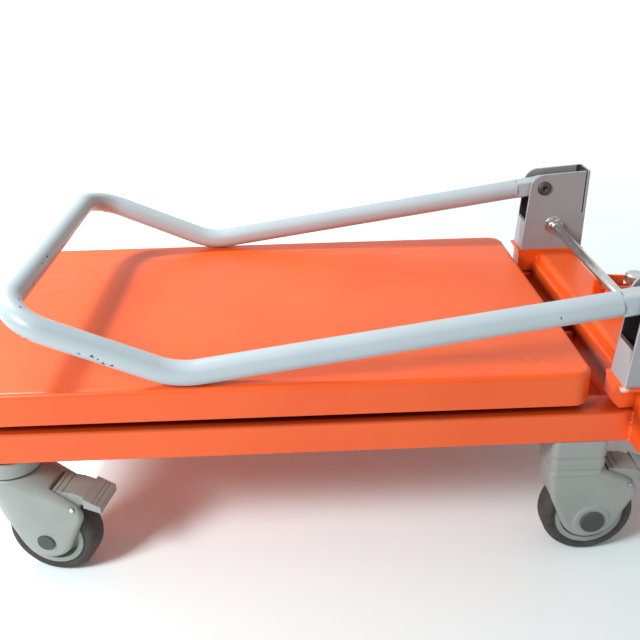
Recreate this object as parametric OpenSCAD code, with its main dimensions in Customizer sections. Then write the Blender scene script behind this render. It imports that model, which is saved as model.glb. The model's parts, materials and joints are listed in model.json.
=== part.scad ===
// Hydraulic scissor lift-table trolley with a folding push handle.
// Millimetres, +Z up, standing on Z = 0. +X points to the handle end,
// -Y is the left-hand side of a person who pushes the trolley.

/* [Platform] */
// Length of the platform
deck_l = 650; // [600:5:760]
// Width of the platform over its skirts
deck_w = 400; // [380:5:460]
// Height of the folded platform skirt
deck_h = 36; // [34:0.5:44]
// Sheet thickness of the platform
deck_t = 3; // [2:0.5:4]
// Plan radius of the platform corners
deck_corner_r = 20; // [12:1:36]
// Radius of the folded top edge of the platform
deck_edge_r = 6; // [4:0.5:9]
// Gap between the lowered platform skirt and the side rails
deck_gap = 9.5; // [6:0.5:16]
// Distance from the platform end to the rail end at the handle
deck_setback = 44; // [42:1:60]

/* [Base frame] */
// Length of the side rails
rail_l = 690; // [660:5:760]
// Height of the side rails
rail_h = 35; // [34:0.5:44]
// Width of the rail flanges
rail_flange = 35; // [33:0.5:40]
// Wall thickness of the rails
rail_t = 3; // [2.5:0.5:3.5]
// Width of the front cross channel
front_channel_w = 36; // [28:1:40]
// Thickness of the end plate
end_plate_t = 5; // [4:0.5:8]
// Reach of the end plate wings beyond the rails
end_wing = 22; // [14:1:30]

/* [Scissor] */
// Depth of the scissor arms
arm_d = 32; // [26:1:34]
// Thickness of the scissor arms
arm_t = 6; // [5:0.5:7]
// Distance of the fixed pivots from the rail end at the handle
fixed_pivot_back = 630; // [610:1:634]
// Distance of the lowered rollers from the rail end at the handle
roller_back = 75; // [72:1:90]
// Diameter of the scissor pivot pins
pivot_d = 14; // [12:1:16]
// Diameter of the roller axles
roller_axle_d = 12; // [10:1:14]
// Width of the rollers
roller_w = 16; // [12:1:17]
// Outside diameter of the cross tubes
cross_tube_d = 22; // [18:1:24]

/* [Handle] */
// Outside diameter of the handle tube
tube_d = 25.4; // [22:0.2:27]
// Wall thickness of the handle tube
tube_t = 2; // [1.5:0.25:3]
// Distance of the handle legs from the middle plane
leg_y = 191; // [186:0.5:192]
// Length of a handle leg from its pivot to the kink
leg_l = 468; // [430:1:500]
// Fall of the folded legs towards the kink, in degrees
leg_slope = 8.15; // [7:0.05:10]
// Rise of the handle end beyond the kink, in degrees
kick_slope = 23.7; // [20:0.1:28]
// Length of the raised handle end, from the kink to the crossbar
kick_l = 176; // [160:1:200]
// Bend radius of the kink
kink_r = 80; // [60:1:150]
// Bend radius of the handle corners
corner_r = 46; // [40:1:65]
// Distance of the handle pivots beyond the rail end
pivot_out = 6; // [4:0.5:10]
// Diameter of the handle pivot bolts
handle_bolt_d = 12; // [10:1:14]

/* [Handle brackets] */
// Length of a bracket
bracket_l = 86; // [82:1:100]
// Width of a bracket
bracket_w = 37; // [35:0.5:40]
// Sheet thickness of a bracket
bracket_t = 3; // [2.5:0.5:3.5]
// Bracket length in front of the rail end
bracket_front = 19; // [17:0.5:22]
// Height of the front web of a bracket
bracket_web_h = 52; // [40:1:56]
// Diameter of the tie rod between the brackets
tie_rod_d = 12; // [10:1:14]
// Height of the feet under the brackets
foot_h = 28; // [24:1:36]
// Width of the feet under the brackets
foot_w = 26; // [24:1:30]

/* [Casters] */
// Diameter of the wheels
wheel_d = 100; // [90:1:104]
// Width of the tyres
tyre_w = 30; // [26:1:32]
// Height from the floor to the underside of the rails
caster_h = 155; // [152:1:170]
// Width of a caster housing
housing_w = 48; // [46:1:54]
// Distance of a swivelling axle behind its king pin
swivel_trail = 36; // [32:1:42]
// Angle at which the swivelling casters stand, in degrees
swivel_yaw = 12; // [0:1:24]
// Diameter of the wheel axles
wheel_axle_d = 12; // [10:1:14]
// Diameter of the dark axle caps
axle_cap_d = 21; // [18:0.5:26]

/* [Hydraulics] */
// Outside diameter of the lifting cylinder
cylinder_d = 40; // [36:1:40]
// Diameter of the ram
ram_d = 20; // [16:1:22]
// Diameter of the pump plunger
plunger_d = 16; // [14:1:18]
// Number of turns of the plunger spring
spring_turns = 5; // [4:1:6]
// Wire diameter of the plunger spring
spring_wire = 2.2; // [1.6:0.1:2.6]
// Reach of the foot pedal beyond the rail end
pedal_reach = 170; // [160:1:200]

/* [Hidden] */
$fn = 64;
run_gap = 0.5;
fit_gap = 0.05;
lap = 0.01;

orange = "#E8582C";
zinc = "#B9BCBC";
handle_grey = "#B4C2C7";
bracket_grey = "#9A9C9F";
caster_grey = "#8E948E";
tyre_dark = "#3A3835";
cap_dark = "#34383B";
pump_black = "#3B3D3F";
nylon_white = "#DAD8CE";

// Overall places
x_end = (deck_setback + deck_l - pedal_reach) / 2;
rail_z = caster_h;
rail_top = rail_z + rail_h;
skirt_z = rail_top + deck_gap;
deck_top = skirt_z + deck_h;
deck_x1 = x_end - deck_setback;
deck_x0 = deck_x1 - deck_l;
rail_y = deck_w / 2;
rail_in_y = rail_y - rail_flange;
web_y = rail_y - rail_t;

// Scissor: fixed pivots at the front, rollers at the handle end
lug_half = 20;
// A shorter platform carries its lugs and the fixed pivots along with its front skirt
fixed_x = max(x_end - fixed_pivot_back, deck_x0 + deck_t + lug_half + run_gap);
roller_x = x_end - roller_back;
track_t = 2.5;
base_roller_d = rail_h - 2 * rail_t - 2 * run_gap;
track_z0 = skirt_z;
track_z1 = deck_top - deck_t;
deck_roller_d = track_z1 - track_z0 - 2 * track_t - 2 * run_gap;
low_z = rail_z + rail_h / 2;
high_z = (track_z0 + track_z1) / 2;
arm_l = sqrt(pow(roller_x - fixed_x, 2) + pow(high_z - low_z, 2));
arm_angle = asin((high_z - low_z) / arm_l);
mid_x = (fixed_x + roller_x) / 2;
mid_z = (low_z + high_z) / 2;
outer_arm_y1 = rail_in_y - run_gap;
outer_arm_y0 = outer_arm_y1 - arm_t;
inner_arm_y1 = outer_arm_y0 - 1;
inner_arm_y0 = inner_arm_y1 - arm_t;
roller_y0 = rail_in_y + 4;
roller_y1 = roller_y0 + roller_w;
axle_end_y = roller_y1 + 2;
track_web_y = axle_end_y + run_gap;
outer_tube_s = 70;
spreader_s = 500;
lift_tube_s = 320;

// Lifting cylinder, hinged on the end plate
cylinder_x = x_end - 24;
cylinder_z = rail_z + 21;
cylinder_pin_d = 12;
lift_tube_x = roller_x - lift_tube_s * cos(arm_angle);
lift_tube_z = low_z + lift_tube_s * sin(arm_angle);
ram_play = 6.8;
ram_lift = 0.97;
ram_reach = sqrt(pow(cylinder_x - lift_tube_x, 2) + pow(lift_tube_z - cylinder_z, 2));
ram_angle = atan2(lift_tube_z - cylinder_z, cylinder_x - lift_tube_x) + ram_lift;
barrel_l = 236;
saddle_r = cross_tube_d / 2 + ram_play + 4;
saddle_w = 40;

// Handle end of the frame
foot_z = rail_top + 3;
foot_top = foot_z + foot_h;
flange_t = 3;
bracket_z = foot_top + flange_t;
bracket_y0 = leg_y - bracket_w / 2;
bracket_y1 = leg_y + bracket_w / 2;
bracket_x0 = x_end - bracket_front;
bracket_x1 = bracket_x0 + bracket_l;
foot_x0 = bracket_x0 - 3;
foot_x1 = bracket_x1 + 2;
foot_y1 = rail_y - 4;
foot_y0 = foot_y1 - foot_w;
beam_x0 = x_end + end_plate_t;
beam_x1 = beam_x0 + 52;
beam_t = 3;
pivot_x = x_end + pivot_out;
kink_lift = kink_r * (cos((kick_slope - leg_slope) / 2) / cos((kick_slope + leg_slope) / 2) - 1);
kink_z = deck_top + run_gap + tube_d / 2 - kink_lift;
pivot_z = kink_z + leg_l * sin(leg_slope);
pivot_round = 19;
block_h = 0.866 * tube_d;
block_l = 35;
block_corner = 3.5;
socket_l = 16;
tie_x = x_end + 24;
tie_z = bracket_z + 36;

// Casters
wheel_r = wheel_d / 2;
cheek_in = tyre_w / 2 + 1.5;
caster_y = rail_y - 25;
king_back = 646;
king_x = x_end - king_back;
king_y = rail_y - 34;
head_d = 62;
head_z = rail_z - 23;
plate_t = 4;
plate_l = 84;
plate_w = 64;
plate_corner = 8;
plate_in = 8;
king_d = 16;
king_l = 22;
head_seam = 1.5;
fixed_trail = 23;
block_x = x_end - 48;
block_size_x = 58;
block_drop = 43;
well_r = wheel_r + 4;
shell_low_r = 32;
shell_shoulder_r = 16;
shell_spine_r = 18;
cap_ring_r = 19.5;
brake_out = 36;
brake_up = 46;
brake_hub_d = 11;
brake_slot = 11;
brake_w = 40;
brake_pin_d = 5;

// Pump and pedals
pump_x = x_end + 72;
lever_y0 = 16;
pump_block_z = rail_z + 45;
pump_tank_w = 80;
pump_block_w = 2 * (lever_y0 - 1);
spring_z0 = pump_block_z + 5;
spring_h = 26;
spring_seat_d = 28;
collar_z = spring_z0 + spring_h;
collar_h = 3;
plunger_pin_d = 6;
plunger_pin_z = collar_z + collar_h + 4;
plunger_cap_d = 24;
plunger_cap_z = plunger_pin_z + 8;
plunger_cap_h = 10;
spring_r = 11;
lever_x = x_end + 40;
lever_z = plunger_pin_z;
lever_t = 4;
lever_pin_d = 8;
ear_gap = 1;
ear_t = 4;
pad_l = 44;
pad_w = 54;
pad_z = rail_z + 28;
pin_play = 0.4;
lever_foot_r = 8;
lever_foot_z = pad_z - lever_foot_r;
lever_bend = 112;
lever_bend_x = x_end + lever_bend;
lever_knee_x = x_end + pedal_reach - pad_l - lever_foot_r - 2;
lever_tip_x = x_end + pedal_reach - 12;
release_out = 66;
release_x = x_end + release_out;
release_z = rail_z + 9;
release_pin_d = 10;

// Shape helpers

// A bar along Y between two distances from the middle plane, on one side
module side_bar(s, y0, y1) {
    translate([0, s > 0 ? y0 : -y1, 0])
        rotate([90, 0, 0])
            mirror([0, 0, 1])
                linear_extrude(y1 - y0)
                    children();
}

// Round bar along Y on one side
module side_round(s, x, z, d, y0, y1) {
    side_bar(s, y0, y1)
        translate([x, z])
            circle(d = d);
}

// Round bar along Y across the middle plane
module cross_round(x, z, d, half) {
    translate([x, -half, z])
        rotate([-90, 0, 0])
            cylinder(d = d, h = 2 * half);
}

// Profile in the XZ plane drawn across the middle plane
module cross_bar(half) {
    translate([0, half, 0])
        rotate([90, 0, 0])
            linear_extrude(2 * half)
                children();
}

// Rectangle with rounded corners, centred
module round_rect(l, w, r) {
    square([l - 2 * r, w], center = true);
    square([l, w - 2 * r], center = true);
    for (sx = [-1, 1], sy = [-1, 1])
        translate([sx * (l / 2 - r), sy * (w / 2 - r)])
            circle(r);
}

// Two circles joined by their outer tangents
module link_shape(x0, z0, r0, x1, z1, r1) {
    d = sqrt(pow(x1 - x0, 2) + pow(z1 - z0, 2));
    a = atan2(z1 - z0, x1 - x0);
    b = acos((r0 - r1) / d);
    translate([x0, z0])
        circle(r0);
    translate([x1, z1])
        circle(r1);
    polygon([
        [x0 + r0 * cos(a + b), z0 + r0 * sin(a + b)],
        [x0 + r0 * cos(a - b), z0 + r0 * sin(a - b)],
        [x1 + r1 * cos(a - b), z1 + r1 * sin(a - b)],
        [x1 + r1 * cos(a + b), z1 + r1 * sin(a + b)]]);
}

// Drum with rounded rims, axis along Y, centred
module soft_drum(r, half, e) {
    rotate([90, 0, 0])
        rotate_extrude($fn = 32) {
            translate([0, -half])
                square([r - e, 2 * half]);
            translate([0, e - half])
                square([r, 2 * (half - e)]);
            for (s = [-1, 1])
                translate([r - e, s * (half - e)])
                    circle(e, $fn = 16);
        }
}

// Disc with rounded rims, axis along Z, standing on z = 0
module soft_disc(r, h, e) {
    rotate_extrude($fn = 48) {
        square([r - e, h]);
        translate([0, e])
            square([r, h - 2 * e]);
        for (z = [e, h - e])
            translate([r - e, z])
                circle(e, $fn = 16);
    }
}

// Base frame

// C-channel rail, open towards the middle
module side_rail(s) {
    color(orange)
        difference() {
            side_bar(s, rail_in_y, rail_y)
                translate([x_end - rail_l, rail_z])
                    square([rail_l, rail_h]);
            side_bar(s, rail_in_y - 1, web_y)
                translate([x_end - rail_l - 1, rail_z + rail_t])
                    square([rail_l + 2, rail_h - 2 * rail_t]);
        }
}

module side_rail_left() { side_rail(-1); }
module side_rail_right() { side_rail(1); }

// Channel that joins the rails at the front, open towards the handle
module front_cross_channel() {
    color(orange)
        difference() {
            cross_bar(rail_in_y)
                translate([x_end - rail_l, rail_z])
                    square([front_channel_w, rail_h]);
            cross_bar(rail_in_y + 1)
                translate([x_end - rail_l + rail_t, rail_z + rail_t])
                    square([front_channel_w, rail_h - 2 * rail_t]);
        }
}

// Plate across the rail ends: wings beside the feet, a lip before the beam, gussets and a folded sole
module end_plate() {
    gusset_y = rail_in_y - 20;
    sole_y = rail_in_y - run_gap;
    sole_w = 18;
    lip_h = 10;
    lip_y = foot_y0 - 2;
    color(orange) {
        difference() {
            translate([x_end, -rail_y - end_wing, rail_z])
                cube([end_plate_t, 2 * (rail_y + end_wing), foot_top - rail_z - 2]);
            translate([x_end - 1, -foot_y1 - 1, foot_z])
                cube([end_plate_t + 2, 2 * (foot_y1 + 1), foot_h + 1]);
        }
        translate([x_end, -lip_y, foot_z - lap])
            cube([end_plate_t, 2 * lip_y, lip_h + lap]);
        translate([x_end - sole_w, -sole_y, rail_z])
            cube([sole_w + lap, 2 * sole_y, rail_t]);
        for (s = [-1, 1])
            side_bar(s, gusset_y, gusset_y + end_plate_t)
                polygon([
                    [beam_x0, rail_z + 4],
                    [beam_x0 + 12, rail_z + 4],
                    [beam_x1, foot_z - 8],
                    [beam_x1, foot_z],
                    [beam_x0, foot_z]]);
    }
}

// Folded channel between the feet, with the ears of the pedal lever
module handle_beam() {
    r = 8;
    w = beam_x1 - beam_x0;
    ear_y0 = lever_y0 + lever_t + ear_gap;
    ear_r = 9;
    color(orange) {
        cross_bar(foot_y0)
            translate([beam_x0, foot_z]) {
                difference() {
                    union() {
                        square([w, foot_h - r]);
                        translate([r, 0])
                            square([w - 2 * r, foot_h]);
                        for (x = [r, w - r])
                            translate([x, foot_h - r])
                                circle(r);
                    }
                    translate([beam_t, -1])
                        square([w - 2 * beam_t, foot_h - beam_t - 2]);
                }
            }
        for (s = [-1, 1])
            side_bar(s, ear_y0, ear_y0 + ear_t)
                difference() {
                    union() {
                        translate([lever_x - ear_r, foot_top])
                            square([2 * ear_r, lever_z - foot_top]);
                        translate([lever_x, lever_z])
                            circle(ear_r);
                    }
                    translate([lever_x, lever_z])
                        circle(d = lever_pin_d);
                }
    }
}

// Folded box under each bracket, with its flange plate
module post_feet() {
    chamfer = 7;
    color(orange)
        for (s = [-1, 1]) {
            difference() {
                side_bar(s, foot_y0, foot_y1)
                    polygon([
                        [foot_x0 + chamfer, foot_z],
                        [foot_x1, foot_z],
                        [foot_x1, foot_top],
                        [foot_x0, foot_top],
                        [foot_x0, foot_z + chamfer]]);
                side_bar(s, foot_y0 + beam_t, foot_y1 - beam_t)
                    translate([foot_x0 + beam_t, foot_z - 1])
                        square([foot_x1 - foot_x0 - 2 * beam_t, foot_h + 1 - beam_t]);
            }
            side_bar(s, bracket_y0 - 3, bracket_y1 + 3)
                translate([foot_x0 - 1, foot_top])
                    square([foot_x1 - foot_x0 + 2, flange_t]);
        }
}

// Side outline of a bracket, rounded over the handle pivot
module bracket_outline() {
    top = pivot_z + pivot_round;
    translate([pivot_x, pivot_z])
        circle(pivot_round);
    polygon([
        [bracket_x0, bracket_z],
        [bracket_x1, bracket_z],
        [bracket_x1, top + 4],
        [pivot_x, top],
        [pivot_x - pivot_round, pivot_z]]);
}

// Folded sheet bracket: two sides, a low front web and a full back web
module handle_bracket(s) {
    slot_h = 60;
    slot_w = 2.5;
    tall = 200;
    color(bracket_grey)
        difference() {
            side_bar(s, bracket_y0, bracket_y1)
                bracket_outline();
            side_bar(s, bracket_y0 + bracket_t, bracket_y1 - bracket_t)
                translate([bracket_x0 + bracket_t, bracket_z - 1])
                    square([bracket_l - 2 * bracket_t, tall]);
            side_bar(s, bracket_y0 + bracket_t, bracket_y1 - bracket_t)
                translate([bracket_x0 - 1, bracket_z + bracket_web_h])
                    square([bracket_t + 2, tall]);
            side_bar(s, bracket_y0 - 1, bracket_y0 + bracket_t)
                translate([bracket_x1 - bracket_t - slot_w, pivot_z + pivot_round + 4 - slot_h])
                    square([slot_w, slot_h + 1]);
            side_round(s, pivot_x, pivot_z, handle_bolt_d, bracket_y0 - 1, bracket_y1 + 1);
            side_round(s, tie_x, tie_z, tie_rod_d, bracket_y0 - 1, bracket_y1 + 1);
        }
}

module handle_bracket_left() { handle_bracket(-1); }
module handle_bracket_right() { handle_bracket(1); }

// Rod that ties both brackets together
module tie_rod() {
    color(zinc)
        cross_round(tie_x, tie_z, tie_rod_d, bracket_y1 + 13);
}

// Washers and hexagon nuts on both sides of each bracket
module tie_rod_nuts() {
    nut_af = 19;
    nut_h = 9;
    washer_t = 2;
    inner_y = bracket_y0 - washer_t - nut_h;
    color(zinc)
        for (s = [-1, 1]) {
            for (y = [inner_y, bracket_y1 + washer_t])
                side_bar(s, y, y + nut_h)
                    translate([tie_x, tie_z])
                        difference() {
                            circle(d = nut_af / cos(30), $fn = 6);
                            circle(d = tie_rod_d);
                        }
            for (y = [bracket_y0 - washer_t, bracket_y1])
                side_bar(s, y, y + washer_t)
                    translate([tie_x, tie_z])
                        difference() {
                            circle(d = 25);
                            circle(d = tie_rod_d);
                        }
        }
}

// Pan-head bolts on which the handle turns, with spacer rings beside the handle ends
module handle_pivot_bolts() {
    head_d = 19;
    head_h = 4;
    ring_d = 18;
    ring_t = (bracket_w - 2 * bracket_t - block_h) / 2 - 0.3;
    color(cap_dark)
        for (s = [-1, 1]) {
            side_round(s, pivot_x, pivot_z, handle_bolt_d, bracket_y0, bracket_y1);
            for (y = [bracket_y0 - head_h, bracket_y1])
                side_round(s, pivot_x, pivot_z, head_d, y, y + head_h);
            for (y = [bracket_y0 + bracket_t, bracket_y1 - bracket_t - ring_t])
                side_round(s, pivot_x, pivot_z, ring_d, y, y + ring_t);
        }
}

// Fixed pins: scissor pivots, cylinder hinge and pedal lever
module base_pins() {
    lever_half = lever_y0 + lever_t + ear_gap + ear_t + 2;
    color(zinc) {
        for (s = [-1, 1])
            side_round(s, fixed_x, low_z, pivot_d, outer_arm_y0 - 0.6, web_y);
        cross_round(cylinder_x, cylinder_z, cylinder_pin_d, 28);
        cross_round(lever_x, lever_z, lever_pin_d, lever_half);
    }
}

// Two ears on the end plate that hold the cylinder
module cylinder_clevis() {
    color(orange)
        for (s = [-1, 1])
            side_bar(s, 16, 22)
                difference() {
                    union() {
                        translate([cylinder_x, cylinder_z - 13])
                            square([x_end - cylinder_x, 26]);
                        translate([cylinder_x, cylinder_z])
                            circle(13);
                    }
                    translate([cylinder_x, cylinder_z])
                        circle(d = cylinder_pin_d);
                }
}

// Oil tank under the beam
module pump_tank() {
    r = 6;
    l = beam_x1 - beam_x0;
    color(pump_black)
        translate([beam_x0 + l / 2, 0, rail_z + 2])
            linear_extrude(foot_z - rail_z - 4)
                round_rect(l, pump_tank_w, r);
}

// Cast pump block with the plunger barrel
module pump_block() {
    l = 40;
    z0 = rail_z + 2;
    color(pump_black)
        difference() {
            union() {
                translate([beam_x1 + l / 2, 0, z0])
                    linear_extrude(pump_block_z - z0)
                        round_rect(l, pump_block_w, 5);
                translate([pump_x, 0, pump_block_z - lap])
                    cylinder(d = spring_seat_d, h = spring_z0 - pump_block_z + lap);
            }
            translate([pump_x, 0, z0 + 14])
                cylinder(d = plunger_d + 2 * fit_gap, h = 100);
            side_round(1, release_x, release_z, release_pin_d + 2 * fit_gap, pump_block_w / 2 - 14, 60);
        }
}

// Filler plug on the side of the tank
module tank_plug() {
    color(zinc)
        side_bar(-1, pump_tank_w / 2, pump_tank_w / 2 + 6)
            translate([beam_x0 + 30, rail_z + 24])
                circle(d = 16, $fn = 6);
}

// Scissor

// Flat bar with round ends between two points
module arm_bar(x0, z0, x1, z1) {
    link_shape(x0, z0, arm_d / 2, x1, z1, arm_d / 2);
}

// Arms from the base pivots to the platform rollers
module outer_arms() {
    color(orange)
        for (s = [-1, 1])
            side_bar(s, outer_arm_y0, outer_arm_y1)
                difference() {
                    arm_bar(fixed_x, low_z, roller_x, high_z);
                    translate([fixed_x, low_z])
                        circle(d = pivot_d + 2 * fit_gap);
                    translate([mid_x, mid_z])
                        circle(d = pivot_d);
                    translate([roller_x, high_z])
                        circle(d = roller_axle_d);
                }
}

// Tube that keeps the outer arms parallel
module outer_cross_tube() {
    x = fixed_x + outer_tube_s * cos(arm_angle);
    z = low_z + outer_tube_s * sin(arm_angle);
    color(orange)
        difference() {
            cross_round(x, z, cross_tube_d, outer_arm_y0);
            cross_round(x, z, cross_tube_d - 5, outer_arm_y0 + 1);
        }
}

// Centre pins of the scissor and axles of the platform rollers
module outer_arm_pins() {
    color(zinc)
        for (s = [-1, 1]) {
            side_round(s, mid_x, mid_z, pivot_d, inner_arm_y0 - 1, outer_arm_y1);
            side_round(s, mid_x, mid_z, pivot_d + 6, inner_arm_y0 - 4, inner_arm_y0 - 1);
            side_round(s, roller_x, high_z, roller_axle_d, outer_arm_y0, axle_end_y);
        }
}

// Arms from the base rollers to the platform lugs
module inner_arms() {
    color(orange)
        for (s = [-1, 1])
            side_bar(s, inner_arm_y0, inner_arm_y1)
                difference() {
                    arm_bar(roller_x, low_z, fixed_x, high_z);
                    translate([fixed_x, high_z])
                        circle(d = pivot_d + 2 * fit_gap);
                    translate([mid_x, mid_z])
                        circle(d = pivot_d + 2 * fit_gap);
                    translate([roller_x, low_z])
                        circle(d = roller_axle_d);
                }
}

// Tube that the ram lifts, and a spreader tube near the platform lugs
module inner_cross_tubes() {
    color(orange)
        for (u = [lift_tube_s, spreader_s]) {
            x = roller_x - u * cos(arm_angle);
            z = low_z + u * sin(arm_angle);
            difference() {
                cross_round(x, z, cross_tube_d, inner_arm_y0);
                cross_round(x, z, cross_tube_d - 5, inner_arm_y0 + 1);
            }
        }
}

// Stub axles of the rollers that run in the rails
module base_roller_axles() {
    color(zinc)
        for (s = [-1, 1])
            side_round(s, roller_x, low_z, roller_axle_d, inner_arm_y0, axle_end_y);
}

// Nylon roller with a chamfered rim
module roller(s, z, d) {
    e = 1.5;
    color(nylon_white)
        translate([roller_x, s * (roller_y0 + roller_y1) / 2, z])
            rotate([90, 0, 0])
                rotate_extrude()
                    difference() {
                        polygon([
                            [0, -roller_w / 2],
                            [d / 2 - e, -roller_w / 2],
                            [d / 2, e - roller_w / 2],
                            [d / 2, roller_w / 2 - e],
                            [d / 2 - e, roller_w / 2],
                            [0, roller_w / 2]]);
                        translate([-1, -roller_w])
                            square([1 + roller_axle_d / 2 + fit_gap, 2 * roller_w]);
                    }
}

module base_roller_left() { roller(-1, low_z, base_roller_d); }
module base_roller_right() { roller(1, low_z, base_roller_d); }
module platform_roller_left() { roller(-1, high_z, deck_roller_d); }
module platform_roller_right() { roller(1, high_z, deck_roller_d); }

// Platform

// Section of the platform's folded edge, outwards from a corner axis
module edge_section(r, h, e, t) {
    difference() {
        union() {
            square([r, h - e]);
            square([r - e, h]);
            translate([r - e, h - e])
                circle(e);
        }
        translate([-1, -1])
            square([r - t + 1, h - e + 1]);
        translate([-1, -1])
            square([r - e + 1, h - t + 1]);
        translate([r - e, h - e])
            circle(e - t);
    }
}

// Pressed tray that forms the platform: top sheet, folded sides and round corners
module platform_deck() {
    r = deck_corner_r;
    flat_l = deck_l - 2 * r;
    flat_w = deck_w - 2 * r;
    color(orange)
        translate([(deck_x0 + deck_x1) / 2, 0, skirt_z]) {
            translate([-flat_l / 2, -flat_w / 2, deck_h - deck_t])
                cube([flat_l, flat_w, deck_t]);
            for (a = [0, 180])
                rotate([0, 0, a]) {
                    translate([flat_l / 2, flat_w / 2, 0])
                        rotate([90, 0, 0])
                            linear_extrude(flat_w)
                                edge_section(r, deck_h, deck_edge_r, deck_t);
                    translate([-flat_l / 2, flat_w / 2, 0])
                        rotate([90, 0, 90])
                            linear_extrude(flat_l)
                                edge_section(r, deck_h, deck_edge_r, deck_t);
                    translate([flat_l / 2, flat_w / 2, 0])
                        rotate_extrude(angle = 90)
                            edge_section(r, deck_h, deck_edge_r, deck_t);
                    translate([-flat_l / 2, flat_w / 2, 0])
                        rotate([0, 0, 90])
                            rotate_extrude(angle = 90)
                                edge_section(r, deck_h, deck_edge_r, deck_t);
                }
        }
}

// Channels under the platform in which the upper rollers run
module platform_tracks() {
    x1 = deck_x1 - deck_t - 2;
    l = 340;
    inset = deck_edge_r + run_gap;
    color(orange)
        for (s = [-1, 1])
            intersection() {
                difference() {
                    side_bar(s, roller_y0 - 2, track_web_y + track_t)
                        translate([x1 - l, track_z0])
                            square([l, track_z1 - track_z0]);
                    side_bar(s, roller_y0 - 3, track_web_y)
                        translate([x1 - l - 1, track_z0 + track_t])
                            square([l + 2, track_z1 - track_z0 - 2 * track_t]);
                }
                translate([(deck_x0 + deck_x1) / 2, 0, track_z0 - 1])
                    linear_extrude(track_z1 - track_z0 + 2)
                        round_rect(deck_l - 2 * inset, deck_w - 2 * inset, deck_corner_r - inset);
            }
}

// Lugs under the platform that hold the inner arms
module platform_lugs() {
    lug_r = 14;
    color(orange)
        for (s = [-1, 1])
            side_bar(s, inner_arm_y0 - 8, inner_arm_y0 - 2)
                difference() {
                    union() {
                        translate([fixed_x, high_z])
                            circle(lug_r);
                        translate([fixed_x - lug_half, high_z])
                            square([2 * lug_half, track_z1 - high_z]);
                    }
                    translate([fixed_x, high_z])
                        circle(d = pivot_d);
                }
}

// Pins between the lugs and the inner arms
module platform_pins() {
    color(zinc)
        for (s = [-1, 1])
            side_round(s, fixed_x, high_z, pivot_d, inner_arm_y0 - 9, inner_arm_y1 + 0.5);
}

// Handle

// The tube follows a path of rings: each ring has its place and two directions across the tube.
// A leg runs down to the kink, the kink turns it up, and a corner turns it into the crossbar.
kink_a = leg_slope + kick_slope;
kink_tan = kink_r * tan(kink_a / 2);
across = [0, 1, 0];
leg_dir = [-cos(leg_slope), 0, -sin(leg_slope)];
leg_up = [-sin(leg_slope), 0, cos(leg_slope)];
kick_dir = [-cos(kick_slope), 0, sin(kick_slope)];
kick_up = [sin(kick_slope), 0, cos(kick_slope)];
leg_pivot = [pivot_x, -leg_y, pivot_z];
kink_start = leg_pivot + (leg_l - kink_tan) * leg_dir;
kink_end = kink_start + kink_r * (sin(kink_a) * leg_dir + (1 - cos(kink_a)) * leg_up);
corner_start = kink_end + (kick_l - kink_tan - corner_r) * kick_dir;
kink_steps = 6;
corner_steps = 12;
function kink_ring(a) = [
    kink_start + kink_r * (sin(a) * leg_dir + (1 - cos(a)) * leg_up),
    cos(a) * leg_up - sin(a) * leg_dir,
    across];
function corner_ring(a) = [
    corner_start + corner_r * (sin(a) * kick_dir + (1 - cos(a)) * across),
    kick_up,
    cos(a) * across - sin(a) * kick_dir];
near_rings = concat(
    [[leg_pivot + block_l * leg_dir, leg_up, across]],
    [for (i = [0:kink_steps]) kink_ring(kink_a * i / kink_steps)],
    [for (i = [0:corner_steps]) corner_ring(90 * i / corner_steps)]);
function flip(v) = [v.x, -v.y, v.z];
last_near = len(near_rings) - 1;
handle_rings = concat(
    near_rings,
    [for (i = [0:last_near]) [for (v = near_rings[last_near - i]) flip(v)]]);

// Side faces between rings of n points, starting at point number base
function skin(rings, n, base) = [for (i = [0:rings - 2], k = [0:n - 1])
    let (a = base + i * n + k, b = base + i * n + (k + 1) % n)
    each [[a, a + n, b], [b, a + n, b + n]]];
function turned(faces) = [for (f = faces) [f[0], f[2], f[1]]];
function ring_points(rings, r, n) = [for (ring = rings, k = [0:n - 1])
    ring[0] + r * (cos(360 * k / n) * ring[1] + sin(360 * k / n) * ring[2])];

// Bent tube of the push handle, folded down on the platform
module handle_tube() {
    n = 28;
    rings = len(handle_rings);
    inner = rings * n;
    last = (rings - 1) * n;
    ends = [for (k = [0:n - 1])
        let (j = (k + 1) % n)
        each [[k, j, inner + k], [j, inner + j, inner + k],
            [last + k, inner + last + k, last + j], [last + j, inner + last + k, inner + last + j]]];
    color(handle_grey)
        polyhedron(
            concat(ring_points(handle_rings, tube_d / 2, n),
                ring_points(handle_rings, tube_d / 2 - tube_t, n)),
            concat(skin(rings, n, 0), turned(skin(rings, n, inner)), ends));
}

// Ends of the handle, formed square, that turn on the pivot bolts and plug into the round tube
module handle_end_blocks() {
    color(handle_grey)
        for (s = [-1, 1])
            translate([pivot_x, s * leg_y, pivot_z])
                rotate([0, -90 - leg_slope, 0])
                    difference() {
                        union() {
                            linear_extrude(block_l)
                                round_rect(block_h, block_h, block_corner);
                            rotate([90, 0, 0])
                                cylinder(d = block_h, h = block_h, center = true);
                            translate([0, 0, block_l - lap])
                                cylinder(d = tube_d - 2 * tube_t, h = socket_l + lap);
                        }
                        rotate([90, 0, 0])
                            cylinder(d = handle_bolt_d + 2 * fit_gap, h = 2 * block_h, center = true);
                    }
}

// Hydraulics

module along_ram() {
    translate([cylinder_x, 0, cylinder_z])
        rotate([0, -90 + ram_angle, 0])
            children();
}

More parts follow.
